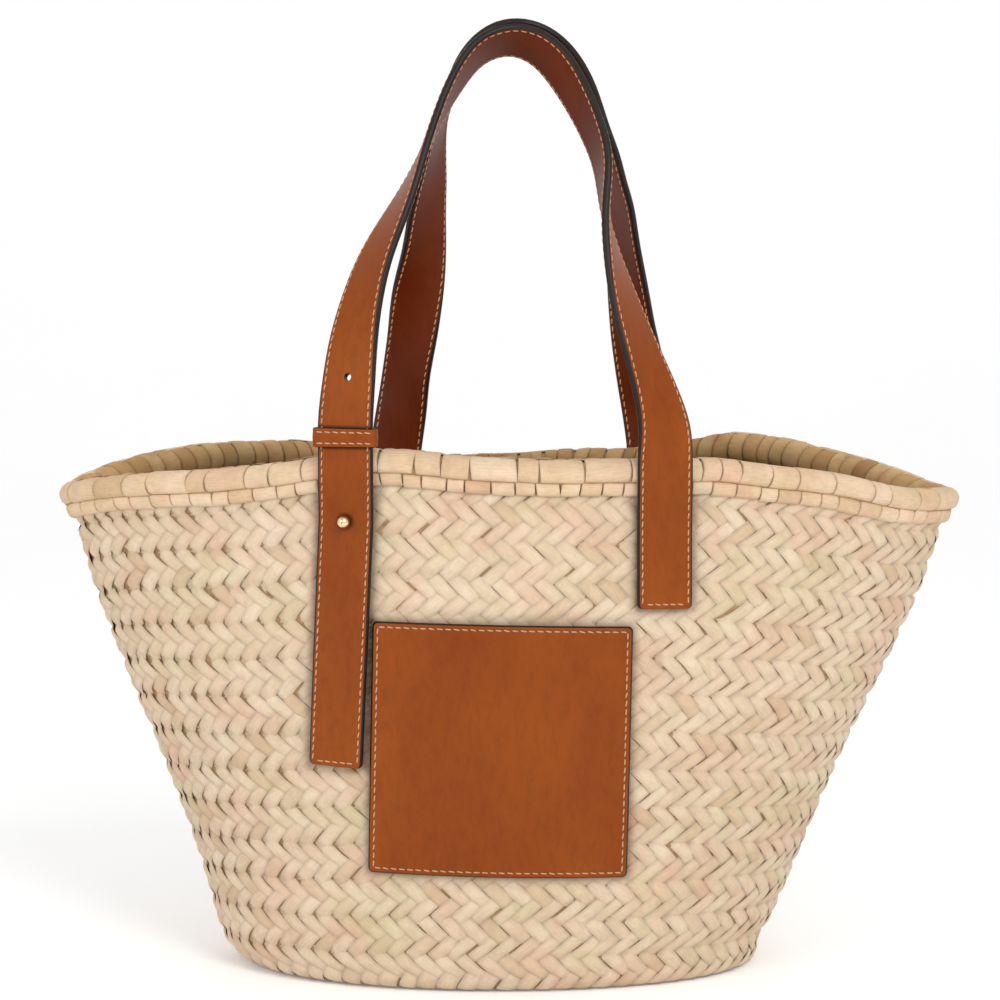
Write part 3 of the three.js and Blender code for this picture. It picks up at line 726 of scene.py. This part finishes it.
def strap(name, course, materials, node):
    section, looks = strap_section()
    total = course.way[-1]
    corner = STRAP_CORNER
    ends = corner * (1 - np.cos(np.linspace(0, np.pi / 2, 6)))
    way = np.concatenate([ends, np.linspace(corner, total - corner, 320)[1:-1], (total - ends)[::-1]])
    point, across, out = course.at(way)
    near = np.clip(corner - np.minimum(way, total - way), 0, corner)
    narrow = corner - np.sqrt(np.maximum(corner**2 - near**2, 0))
    thin = np.where(near > 0, 0.25 * (near / corner) ** 4, 0)
    w, n = section.T
    w = w[None] - np.sign(w[None]) * narrow[:, None] * (np.abs(w[None]) / (STRAP_WIDTH / 2)) ** 6
    n = n[None] * (1 - thin[:, None])
    rings = point[:, None] + w[..., None] * across[:, None] + n[..., None] * out[:, None]
    sheets = Sheets()
    flat = np.stack(np.broadcast_arrays(section[None, :, 0], way[:, None]), -1)
    for start in np.flatnonzero(looks != np.roll(looks, 1)):
        look = looks[start]
        stretch = [start]
        while looks[stretch[-1] % len(looks)] == look:
            stretch.append(stretch[-1] + 1)
        columns = [index % len(looks) for index in stretch]
        sheets.add(rings[None, :, columns], flat[None, :, columns], look=int(look))
    for ring, turned in ((rings[0], True), (rings[-1], False)):
        half = len(ring) // 2
        near_side, far_side = ring[:half], ring[half:][::-1]
        levels = np.stack([near_side, 0.5 * (near_side + far_side), far_side])
        sheets.add(levels[None, ::-1] if turned else levels[None], look=1)
    return sheets.piece(name, materials, "leather", [node])


def drill(piece, centre, direction, radius):
    """Cuts a round hole through a strap, with the edge's paint inside it."""
    welded = bmesh.new()
    welded.from_mesh(piece.data)
    bmesh.ops.remove_doubles(welded, verts=welded.verts, dist=1e-6)
    welded.to_mesh(piece.data)
    welded.free()
    bpy.ops.mesh.primitive_cylinder_add(vertices=32, radius=radius / 1000, depth=0.012)
    bit = bpy.context.active_object
    bit.rotation_euler = Vector(direction).to_track_quat("Z", "Y").to_euler()
    bit.location = (centre[0] / 1000, centre[1] / 1000 + SHIFT_Y, centre[2] / 1000)
    for material in piece.data.materials:
        bit.data.materials.append(material)
    for face in bit.data.polygons:
        face.material_index = 1
    cut = piece.modifiers.new("hole", "BOOLEAN")
    cut.object = bit
    cut.solver = "EXACT"
    bpy.context.view_layer.update()
    mesh = bpy.data.meshes.new_from_object(piece.evaluated_get(bpy.context.evaluated_depsgraph_get()))
    piece.modifiers.clear()
    piece.data = mesh
    bpy.data.objects.remove(bit)


STITCH_RINGS = (  # share of a stitch's length, share of its thickness
    (-0.5, 0.0), (-0.46, 0.6), (-0.3, 0.95), (0, 1.05), (0.3, 0.95), (0.46, 0.6), (0.5, 0.0),
)


def stitch_points(point, along, out, side_way):
    """Small rounded threads, each a closed grid, laid along the given directions."""
    places, fullness = np.array(STITCH_RINGS).T
    around = np.linspace(0, 2 * np.pi, 9)[:-1]
    length = places * STITCH_LENGTH
    radius = fullness * STITCH_THICK
    rise = 0.12 * np.cos(np.pi * places)
    a = length[None, :, None, None] * along[:, None, None]
    b = (radius[:, None] * np.cos(around)[None])[None, ..., None] * side_way[:, None, None]
    c = (0.8 * radius[:, None] * np.sin(around)[None] + rise[:, None])[None, ..., None] * out[:, None, None]
    return point[:, None, None] + a + b + c


def stitch_line(sheets, points, outs):
    """Stitches along a line of points whose faces look towards outs."""
    way = lengths_along(points)
    count = max(2, round(way[-1] / STITCH_PITCH))
    places = (np.arange(count) + 0.5) * way[-1] / count
    tangent = unit(np.gradient(points, axis=0))
    point = rows_at(places, way, points)
    along, out = (unit(rows_at(places, way, rows)) for rows in (tangent, outs))
    tilt = STITCH_TILT[0] + STITCH_TILT[1] * rng.normal(size=(count, 1))
    along = unit(along + tilt * np.cross(along, out))
    side_way = unit(np.cross(along, out))
    point = point + out * 0.02
    sheets.add(stitch_points(point, along, out, side_way), closed_columns=True, tint=rng.random(count))


def strap_stitches(sheets, course, inner):
    """Both edges on both faces, with a cross seam near each end. inner is the stretch whose inner face is
    free of the wall."""
    reach = STRAP_WIDTH / 2 - STITCH_INSET
    thick = STRAP_THICKNESS / 2 - STITCH_SINK
    outer = (STITCH_INSET, course.way[-1] - STITCH_INSET)
    for face, (start, stop) in ((1, outer), (-1, inner)):
        point, across, out = course.at(np.linspace(start, stop, 300))
        for edge in (-1, 1):
            stitch_line(sheets, point + edge * reach * across + face * thick * out, face * out)
    for way in outer:
        point, across, out = course.at(np.full(12, way))
        width = np.linspace(-reach + STITCH_PITCH / 2, reach - STITCH_PITCH / 2, 12)[:, None]
        stitch_line(sheets, point + width * across + thick * out, out)


# Keeper, stud and patch

KEEPER_SECTION = (  # up from the border, and how much thinner than the leather, to the middle
    (0.0, 0.8), (0.35, 0.2), (0.8, 0.0), (1.6, 0.0), (2.1, 0.14), (2.6, -0.02),
)
STUD_DISC = ((0, -1.2), (4.6, -1.2), (5.3, -0.9), (5.5, -0.2), (5.3, 0), (1.5, 0))  # radius, height
STUD_COLLAR = ((1.5, -0.4), (2.4, -0.3), (2.6, 0.05), (2.5, 0.3), (2.0, 0.5))
STUD_BALL = 3.3


def keeper_loop():
    """Places and outward directions round the strap's section, with a little room."""
    half_wide = STRAP_WIDTH / 2 + GAP
    half_thick = STRAP_THICKNESS / 2 + GAP
    radius = 0.9
    loop, outward = [], []
    for x, y, start in ((1, 1, 0), (-1, 1, 90), (-1, -1, 180), (1, -1, 270)):
        corner = np.array([x * (half_wide - radius), y * (half_thick - radius)])
        for turn in np.radians(np.linspace(start, start + 90, 6)):
            direction = np.array([math.cos(turn), math.sin(turn)])
            loop.append(corner + radius * direction)
            outward.append(direction)
    return np.array(loop), np.array(outward)


def keeper(course, start, leather, paint, thread):
    """A band of leather right round the strap from start upward, stitched along both borders."""
    loop, outward = keeper_loop()
    height = KEEPER_HEIGHT
    lower = [(0.5, 0.0), (0.15, 0.3), (0.0, 0.9)] + [(up, KEEPER_LEATHER - n) for up, n in KEEPER_SECTION]
    upper = [(height - up, thick) for up, thick in lower[::-1]]
    rings = []
    for up, thick in (*lower, (height / 2, KEEPER_LEATHER + 0.12), *upper):
        point, across, out = course.frame_at(start + up)
        place = loop + outward * thick
        rings.append(point + place[:, :1] * across + place[:, 1:] * out)
    rings = np.array(rings)
    sheets = Sheets()
    sheets.add(rings[None, :5], look=1, closed_columns=True)
    sheets.add(rings[None, 4:15], look=0, closed_columns=True)
    sheets.add(rings[None, 14:], look=1, closed_columns=True)
    sheets.add(rings[None, [18, 0]], look=0, closed_columns=True)
    sheets.piece("strap_keeper_band", [leather, paint], "leather", ["strap_keeper"])
    threads = Sheets()
    half_wide = STRAP_WIDTH / 2 + GAP
    face = STRAP_THICKNESS / 2 + GAP + KEEPER_LEATHER - STITCH_SINK
    for up in (2.1, height - 2.1):
        point, across, out = course.frame_at(start + up)
        line = point + np.linspace(-half_wide, half_wide, 20)[:, None] * across + face * out
        stitch_line(threads, line, np.broadcast_to(out, line.shape))
    threads.piece("keeper_stitches", [thread], "leather", ["strap_keeper"])


def stud(course, way, brass):
    """The ball, its collar and the screw's disc inside, all turned on one axis."""
    point, across, out = course.frame_at(way)
    lining = wall_point(point[0], point[2], -1, -WALL)
    inside = float(np.dot(out, lining - point)) - 3 * GAP
    seat = STRAP_THICKNESS / 2
    centre = seat + 0.5 + 0.9 * STUD_BALL
    profile = [(radius, inside + height) for radius, height in STUD_DISC]
    profile += [(radius, seat + height) for radius, height in STUD_COLLAR]
    for turn in np.radians(range(-48, 91, 12)):
        profile.append((STUD_BALL * math.cos(turn), centre + STUD_BALL * math.sin(turn)))
    turns = np.linspace(0, 2 * np.pi, 41)[:-1]
    up = np.cross(out, across)
    ring = np.cos(turns)[:, None] * across + np.sin(turns)[:, None] * up
    rings = np.array([point + max(radius, 0.001) * ring + height * out for radius, height in profile])
    sheets = Sheets()
    sheets.add(rings[None], closed_columns=True)
    sheets.piece("strap_stud_ball", [brass], "brass", ["strap_stud"])


def patch_place(x, z, offset):
    """A place on the patch, from its own level coordinates."""
    turn = math.radians(PATCH_TILT)
    world_x = PATCH_X + x * math.cos(turn) - z * math.sin(turn)
    world_z = PATCH_Z + x * math.sin(turn) + z * math.cos(turn)
    return wall_point(world_x, world_z, -1, offset)


def rounded(x, z, half_x, half_z, radius):
    """Moves places of a square-cornered grid onto one with round corners."""
    corner_x, corner_z = half_x - radius, half_z - radius
    over_x, over_z = np.abs(x) - corner_x, np.abs(z) - corner_z
    inside = (over_x > 0) & (over_z > 0)
    size = np.maximum(over_x, over_z)
    length = np.maximum(np.hypot(over_x, over_z), 1e-9)
    round_x = np.sign(x) * (corner_x + over_x / length * size)
    round_z = np.sign(z) * (corner_z + over_z / length * size)
    return np.where(inside, round_x, x), np.where(inside, round_z, z)


PATCH_LEVELS = {  # in from the border: level
    0: -0.75, 0.35: -0.25, 0.8: -0.05, 1.3: 0, 1.8: -0.02, 2.3: -0.16, 2.8: -0.02, 4: 0, 70: 0.1,
}


def steps_across(size):
    """Places from edge to edge, close together at the rim and the stitch groove."""
    near = np.array(list(PATCH_LEVELS)[:-1])
    middle = np.linspace(8, size - 8, 22)
    return np.concatenate([near, middle, size - near[::-1]]) - size / 2


def patch(leather, paint):
    half_x, half_z = PATCH_WIDTH / 2, PATCH_HEIGHT / 2
    x, z = np.meshgrid(steps_across(PATCH_WIDTH), steps_across(PATCH_HEIGHT), indexing="ij")
    inset = np.minimum(half_x - np.abs(x), half_z - np.abs(z))
    level = smooth(list(PATCH_LEVELS), list(PATCH_LEVELS.values()), inset)
    x, z = rounded(x, z, half_x, half_z, PATCH_CORNER)
    face = patch_place(x, z, GAP + PATCH_THICKNESS + level)
    back = patch_place(x, z, np.full(x.shape, GAP))
    flat = np.stack([x, z], -1)
    sheets = Sheets()
    sheets.add(face[None, 1:-1, 1:-1], flat[None, 1:-1, 1:-1])
    for border in (np.s_[:2, :], np.s_[-2:, :], np.s_[1:-1, :2], np.s_[1:-1, -2:]):
        sheets.add(face[border][None], look=1)
    sheets.add(back[None, ::-1], flat[None])
    rim_x = np.concatenate([x[:-1, 0], x[-1, :-1], x[:0:-1, -1], x[0, :0:-1]])
    rim_z = np.concatenate([z[:-1, 0], z[-1, :-1], z[:0:-1, -1], z[0, :0:-1]])
    edge = ((0, 1), (0.3, 1.004), (1.1, 1.006), (1.9, 1.005), (PATCH_THICKNESS - 0.75, 1))  # level, size
    skirt = [patch_place(rim_x * size, rim_z * size, np.full(rim_x.shape, GAP + n)) for n, size in edge]
    sheets.add(np.array(skirt)[None], look=1, closed_columns=True)
    sheets.piece("leather_patch_plate", [leather, paint], "leather", ["leather_patch"])


def patch_stitches(sheets):
    reach_x, reach_z = PATCH_WIDTH / 2 - STITCH_INSET, PATCH_HEIGHT / 2 - STITCH_INSET
    corners = [(-1, -1), (1, -1), (1, 1), (-1, 1), (-1, -1)]
    for (ax, az), (bx, bz) in zip(corners[:-1], corners[1:]):
        share = np.linspace(0, 1, 60)
        x = reach_x * (ax + (bx - ax) * share)
        z = reach_z * (az + (bz - az) * share)
        level = GAP + PATCH_THICKNESS - STITCH_SINK
        points = patch_place(x, z, np.full(60, level))
        outs = patch_place(x, z, np.full(60, level + 1)) - points
        stitch_line(sheets, points, unit(outs))


# Materials

def srgb(*values):
    """A colour given as a picture's red, green and blue, from 0 to 255."""
    linear = [((v / 255 + 0.055) / 1.055) ** 2.4 if v > 10 else v / 255 / 12.92 for v in values]
    return (*linear, 1)


class Nodes:
    """Builds a material's node tree."""

    def __init__(self, name):
        self.material = bpy.data.materials.new(name)
        self.material.use_nodes = True
        self.tree = self.material.node_tree
        self.shader = self.tree.nodes["Principled BSDF"]

    def add(self, kind, **values):
        node = self.tree.nodes.new(kind)
        for key, value in values.items():
            setattr(node, key, value)
        return node

    def link(self, source, target):
        self.tree.links.new(source, target)

    def set(self, **values):
        for key, value in values.items():
            self.shader.inputs[key.replace("_", " ")].default_value = value

    def stretched(self, source, scale):
        mapping = self.add("ShaderNodeMapping")
        mapping.inputs["Scale"].default_value = scale
        self.link(source, mapping.inputs["Vector"])
        return mapping.outputs["Vector"]

    def place(self, scale):
        """Object coordinates in metres, stretched by scale."""
        return self.stretched(self.add("ShaderNodeTexCoord").outputs["Object"], scale)

    def flat(self, scale):
        """The piece's own flat map in millimetres, stretched by scale."""
        return self.stretched(self.add("ShaderNodeUVMap", uv_map="flat").outputs["UV"], scale)

    def noise(self, vector, detail=3, roughness=0.5, scale=1, distortion=0):
        node = self.add("ShaderNodeTexNoise")
        values = {"Scale": scale, "Detail": detail, "Roughness": roughness, "Distortion": distortion}
        for key, value in values.items():
            node.inputs[key].default_value = value
        self.link(vector, node.inputs["Vector"])
        return node.outputs["Fac"]

    def ramp(self, value, *stops):
        node = self.add("ShaderNodeValToRGB")
        elements = node.color_ramp.elements
        while len(elements) < len(stops):
            elements.new(0.5)
        for element, (place, colour) in zip(elements, stops):
            element.position = place
            element.color = colour if len(colour) == 4 else (*colour, 1)
        self.link(value, node.inputs["Fac"])
        return node.outputs["Color"]

    def grey(self, value, low, high, start=0.0, stop=1.0):
        """Maps a value from start..stop to low..high."""
        node = self.add("ShaderNodeMapRange")
        for key, number in (("From Min", start), ("From Max", stop), ("To Min", low), ("To Max", high)):
            node.inputs[key].default_value = number
        self.link(value, node.inputs["Value"])
        return node.outputs["Result"]

    def mix(self, share, first, second, blend="MIX"):
        node = self.add("ShaderNodeMix", data_type="RGBA", blend_type=blend)
        for socket, value in zip((node.inputs[0], node.inputs[6], node.inputs[7]), (share, first, second)):
            if isinstance(value, (int, float, tuple)):
                socket.default_value = value
            else:
                self.link(value, socket)
        return node.outputs[2]

    def math(self, operation, *values):
        node = self.add("ShaderNodeMath", operation=operation)
        for socket, value in zip(node.inputs, values):
            if isinstance(value, (int, float)):
                socket.default_value = value
            else:
                self.link(value, socket)
        return node.outputs[0]

    def bump(self, height, strength, distance, below=None):
        node = self.add("ShaderNodeBump")
        node.inputs["Strength"].default_value = strength
        node.inputs["Distance"].default_value = distance
        self.link(height, node.inputs["Height"])
        if below is not None:
            self.link(below, node.inputs["Normal"])
        return node.outputs["Normal"]

    def attribute(self, name):
        """A value that the mesh carries, such as its tint."""
        return self.add("ShaderNodeAttribute", attribute_name=name).outputs["Fac"]

    def finish(self, colour, roughness=None, normal=None):
        self.link(colour, self.shader.inputs["Base Color"])
        if roughness is not None:
            self.link(roughness, self.shader.inputs["Roughness"])
        if normal is not None:
            self.link(normal, self.shader.inputs["Normal"])
        return self.material


# colours that the straw's painted shade darkens towards
OPEN_SHADE = (0.1, 0.05, 0.04, 1)
INNER_SHADE = (0.24, 0.17, 0.1, 1)
STRAWS = {  # pale, middle, dark, olive, blush
    "palm_straw": ((217, 197, 171), (209, 186, 158), (199, 173, 142), (200, 187, 148), (211, 174, 150)),
    "rim_straw": ((218, 194, 166), (210, 182, 150), (196, 165, 130), (200, 180, 134), (210, 170, 144)),
    # the rim's inside: browner straw, made darker still as painted shade
    "inner_rim_straw_shaded": ((204, 172, 126), (184, 148, 98), (150, 112, 68), (160, 142, 90), (164, 112, 74)),
}


def straw_material(name, shaded):
    """Palm straw: each strand has its own tint, fine fibres run along it, and faint patches cross the bag."""
    pale, middle, dark, olive, blush = (srgb(*colour) for colour in STRAWS[name])
    nodes = Nodes(name)
    own = nodes.ramp(nodes.attribute("tint"), (0, dark), (0.16, middle), (0.6, pale), (1, middle))
    patches = nodes.noise(nodes.place((1, 1, 1.6)), detail=3, roughness=0.6, scale=24)
    colour = nodes.mix(nodes.grey(patches, 0, 0.65, 0.48, 0.7), own, olive)
    warm = nodes.noise(nodes.place((1.2, 1, 1.5)), detail=3, roughness=0.6, scale=31)
    colour = nodes.mix(nodes.grey(warm, 0, 0.65, 0.48, 0.7), colour, blush)
    fibres = nodes.noise(nodes.flat((2.6, 0.14, 1)), detail=4, roughness=0.65, scale=1)
    streaks = nodes.ramp(fibres, (0.3, (0.84, 0.82, 0.79)), (0.55, (1, 1, 1)), (0.75, (0.96, 0.95, 0.93)))
    colour = nodes.mix(1.0, colour, streaks, "MULTIPLY")
    blotches = nodes.noise(nodes.place((1, 1, 1)), detail=4, roughness=0.7, scale=90)
    soiled = nodes.ramp(blotches, (0.3, (0.86, 0.84, 0.81)), (0.6, (1, 1, 1)))
    colour = nodes.mix(1.0, colour, soiled, "MULTIPLY")
    # painted shade: the mesh's shade attribute mixes the colour towards the shaded colour
    darker = nodes.mix(1.0, colour, shaded, "MULTIPLY")
    colour = nodes.mix(nodes.attribute("shade"), colour, darker)
    rough = nodes.grey(fibres, 0.5, 0.75, 0.3, 0.7)
    normal = nodes.bump(fibres, 0.35, 0.0004)
    nodes.set(IOR=1.4, Specular_IOR_Level=0.3)
    return nodes.finish(colour, rough, normal)


def core_material():
    # painted shade: the colour of straw seen in shadow between strands
    nodes = Nodes("straw_shadow")
    noise = nodes.noise(nodes.place((1, 1, 1)), scale=300)
    colour = nodes.ramp(noise, (0.3, srgb(138, 106, 70)), (0.7, srgb(166, 134, 94)))
    return nodes.finish(colour, nodes.grey(noise, 0.8, 0.95))


PRESSED_AND_SHADED = srgb(46, 20, 6)  # leather in the stud's and the keeper's painted shade; round the stud it is also pressed


def leather_material(name, dark, middle, pale, mark, stud_ring_at=None, shaded_at=()):
    """Smooth leather: soft cloudy colour, a fine pebbled grain and a waxy surface.
    The stud's length along a strap is where it has pressed a dark ring, painted darker still as the ball's
    shadow, and shaded_at are those lengths at which a keeper's edge keeps it in painted shade."""
    nodes = Nodes(name)
    clouds = nodes.noise(nodes.place((1, 1, 0.5)), detail=5, roughness=0.55, scale=22, distortion=0.4)
    colour = nodes.ramp(clouds, (0.25, dark), (0.5, middle), (0.75, pale))
    fine = nodes.noise(nodes.place((1, 1, 0.4)), detail=6, roughness=0.75, scale=240)
    colour = nodes.mix(nodes.grey(fine, 0, 0.3, 0.45, 0.7), colour, mark)
    # a dark ring round the stud: pressed into the leather and painted darker as the ball's shadow
    if stud_ring_at is not None:
        reach = nodes.add("ShaderNodeVectorMath", operation="DISTANCE")
        nodes.link(nodes.flat((1, 1, 1)), reach.inputs[0])
        reach.inputs[1].default_value = (0, stud_ring_at, 0)
        colour = nodes.mix(nodes.grey(reach.outputs["Value"], 0.85, 0, 3.2, 5.4), colour, PRESSED_AND_SHADED)
    # painted shade bands along the keeper's edges
    for place in shaded_at:
        along = nodes.add("ShaderNodeSeparateXYZ")
        nodes.link(nodes.flat((1, 1, 1)), along.inputs["Vector"])
        away = nodes.math("ABSOLUTE", nodes.math("SUBTRACT", along.outputs["Y"], float(place)))
        colour = nodes.mix(nodes.grey(away, 0.8, 0, 0.3, 1.6), colour, PRESSED_AND_SHADED)
    grain = nodes.add("ShaderNodeTexVoronoi", feature="SMOOTH_F1")
    grain.inputs["Scale"].default_value = 1100
    nodes.link(nodes.place((1, 1, 1)), grain.inputs["Vector"])
    rough = nodes.grey(clouds, 0.36, 0.52, 0.3, 0.7)
    normal = nodes.bump(grain.outputs["Distance"], 0.12, 0.00025, nodes.bump(fine, 0.08, 0.0006))
    nodes.set(IOR=1.4, Specular_IOR_Level=0.2)
    return nodes.finish(colour, rough, normal)


def paint_material():
    """The dark paint on the leather's cut edges."""
    nodes = Nodes("edge_paint")
    noise = nodes.noise(nodes.place((1, 1, 1)), detail=4, scale=400)
    colour = nodes.ramp(noise, (0.3, srgb(16, 9, 7)), (0.75, srgb(34, 20, 14)))
    nodes.set(Specular_IOR_Level=0.3)
    return nodes.finish(colour, nodes.grey(noise, 0.35, 0.55), nodes.bump(noise, 0.2, 0.0003))


def thread_material():
    nodes = Nodes("cream_thread")
    noise = nodes.noise(nodes.place((1, 1, 1)), detail=3, scale=1500)
    colour = nodes.ramp(noise, (0.3, srgb(162, 122, 88)), (0.7, srgb(196, 158, 122)))
    return nodes.finish(colour, nodes.grey(noise, 0.6, 0.85), nodes.bump(noise, 0.4, 0.0002))


def brass_material():
    nodes = Nodes("pale_brass")
    noise = nodes.noise(nodes.place((1, 1, 1)), detail=3, scale=500)
    colour = nodes.ramp(noise, (0.3, srgb(228, 202, 158)), (0.7, srgb(240, 218, 176)))
    nodes.set(Metallic=1.0)
    return nodes.finish(colour, nodes.grey(noise, 0.16, 0.28))


# The scene

TAN = (srgb(122, 55, 7), srgb(131, 61, 9), srgb(140, 69, 15), srgb(92, 38, 5))  # dark, middle, pale, mark
# darker leather for the straps' inner faces
INNER_FACE_TAN = (srgb(84, 28, 4), srgb(98, 36, 5), srgb(110, 46, 9), srgb(62, 20, 3))


def build():
    straw = straw_material("palm_straw", OPEN_SHADE)
    rim_straw = straw_material("rim_straw", OPEN_SHADE)
    inner_straw_shaded = straw_material("inner_rim_straw_shaded", INNER_SHADE)
    shadow = core_material()
    leather = leather_material("tan_leather", *TAN)
    # the darker leather for the straps' inner faces
    lining = leather_material("dark_leather", *INNER_FACE_TAN)
    paint, thread, brass = paint_material(), thread_material(), brass_material()
    weave("weave_outside", 0.0, 1, True, straw)
    weave("weave_inside", -WALL, -1, False, straw)
    core(shadow)
    rim(rim_straw, inner_straw_shaded, shadow)
    front = Course(-1, FRONT_LEGS, FRONT_RUN, (TAIL, SEWN), TAIL_DRIFT)
    back = Course(1, BACK_LEGS, BACK_RUN, (SEWN, SEWN), 0)
    edge = edge_height(FRONT_LEGS[0], -1)
    stud_way = front.way_at(edge - STUD_BELOW)
    keeper_way = front.way_at(edge + BINDING_TOP + KEEPER_ABOVE)
    shaded_at = (keeper_way, keeper_way + KEEPER_HEIGHT)
    studded = leather_material("studded_leather", *TAN, stud_ring_at=stud_way, shaded_at=shaded_at)
    front_strap = strap("front_strap", front, [studded, paint, lining], "front_handle")
    point, _, out = front.frame_at(front.way_at(edge + BINDING_TOP + SPARE_HOLE_ABOVE))
    drill(front_strap, point, out, SPARE_HOLE_RADIUS)
    strap("back_strap", back, [leather, paint, lining], "back_handle")
    threads = Sheets()
    sewn = SEWN + BINDING_TOP
    strap_stitches(threads, front, (front.way_at(edge + BINDING_TOP), front.way[-1] - sewn))
    strap_stitches(threads, back, (sewn, back.way[-1] - sewn))
    threads.piece("strap_stitches", [thread], "leather", ["front_handle", "back_handle"])
    keeper(front, keeper_way, leather, paint, thread)
    stud(front, stud_way, brass)
    patch(leather, paint)
    threads = Sheets()
    patch_stitches(threads)
    threads.piece("patch_stitches", [thread], "leather", ["leather_patch"])


def floor():
    """One pale sheet for the floor that curves up into a wall far behind the bag."""
    radius, bend_start = 1.2, 2.2
    line = [(-6, 0.0)]
    for turn in np.linspace(0, math.pi / 2, 13):
        line.append((bend_start + radius * math.sin(turn), radius - radius * math.cos(turn)))
    line.append((bend_start + radius, 5.0))
    points = [(x, y, z) for y, z in line for x in (-7, 7)]
    faces = [(2 * i, 2 * i + 1, 2 * i + 3, 2 * i + 2) for i in range(len(line) - 1)]
    mesh = bpy.data.meshes.new("floor")
    mesh.from_pydata(points, [], faces)
    mesh.polygons.foreach_set("use_smooth", [True] * len(faces))
    nodes = Nodes("floor_white_glowing")
    noise = nodes.noise(nodes.place((1, 1, 1)), scale=3)
    white = nodes.ramp(noise, (0.3, (0.95, 0.95, 0.95)), (0.7, (0.96, 0.96, 0.96)))
    mesh.materials.append(nodes.finish(white))
    # the floor glows faintly: painted light that keeps the backdrop white and lights the bag a little
    nodes.set(Roughness=0.9, Emission_Color=(1, 1, 1, 1), Emission_Strength=0.1)
    piece = bpy.data.objects.new("floor", mesh)
    bpy.context.scene.collection.objects.link(piece)


def light(name, place, target, size, power):
    data = bpy.data.lights.new(name, "AREA")
    data.size = size
    data.energy = power
    lamp = bpy.data.objects.new(name, data)
    lamp.location = place
    lamp.rotation_euler = (Vector(target) - Vector(place)).to_track_quat("-Z", "Y").to_euler()
    bpy.context.scene.collection.objects.link(lamp)


def studio():
    world = bpy.data.worlds.new("studio")
    world.use_nodes = True
    background = world.node_tree.nodes["Background"].inputs
    background["Color"].default_value = (1, 1, 1, 1)
    background["Strength"].default_value = 0.8
    bpy.context.scene.world = world
    middle = (0, 0, 0.2)
    light("key", (0.75, -1.8, 1.5), middle, 0.9, 22)
    light("fill", (-1.5, -1.7, 1.0), middle, 1.4, 11)
    bpy.context.scene.view_settings.view_transform = "Standard"


def camera():
    """The photograph's view: a long lens a little above the rim, looking slightly down."""
    picture_size, horizon_row, focal_pixels = 1000, 200.4, 3204
    distance, height, aside = 1.700, 0.406, -0.0048
    data = bpy.data.cameras.new("camera")
    data.sensor_width = 36
    data.lens = data.sensor_width * focal_pixels / picture_size
    tilt = math.atan((picture_size / 2 - horizon_row) / focal_pixels)
    view = bpy.data.objects.new("camera", data)
    view.location = (aside, SHIFT_Y - distance, height)
    view.rotation_euler = (math.pi / 2 - tilt, 0, 0)
    bpy.context.scene.collection.objects.link(view)
    bpy.context.scene.camera = view


build()
floor()
studio()
camera()
bpy.context.view_layer.update()
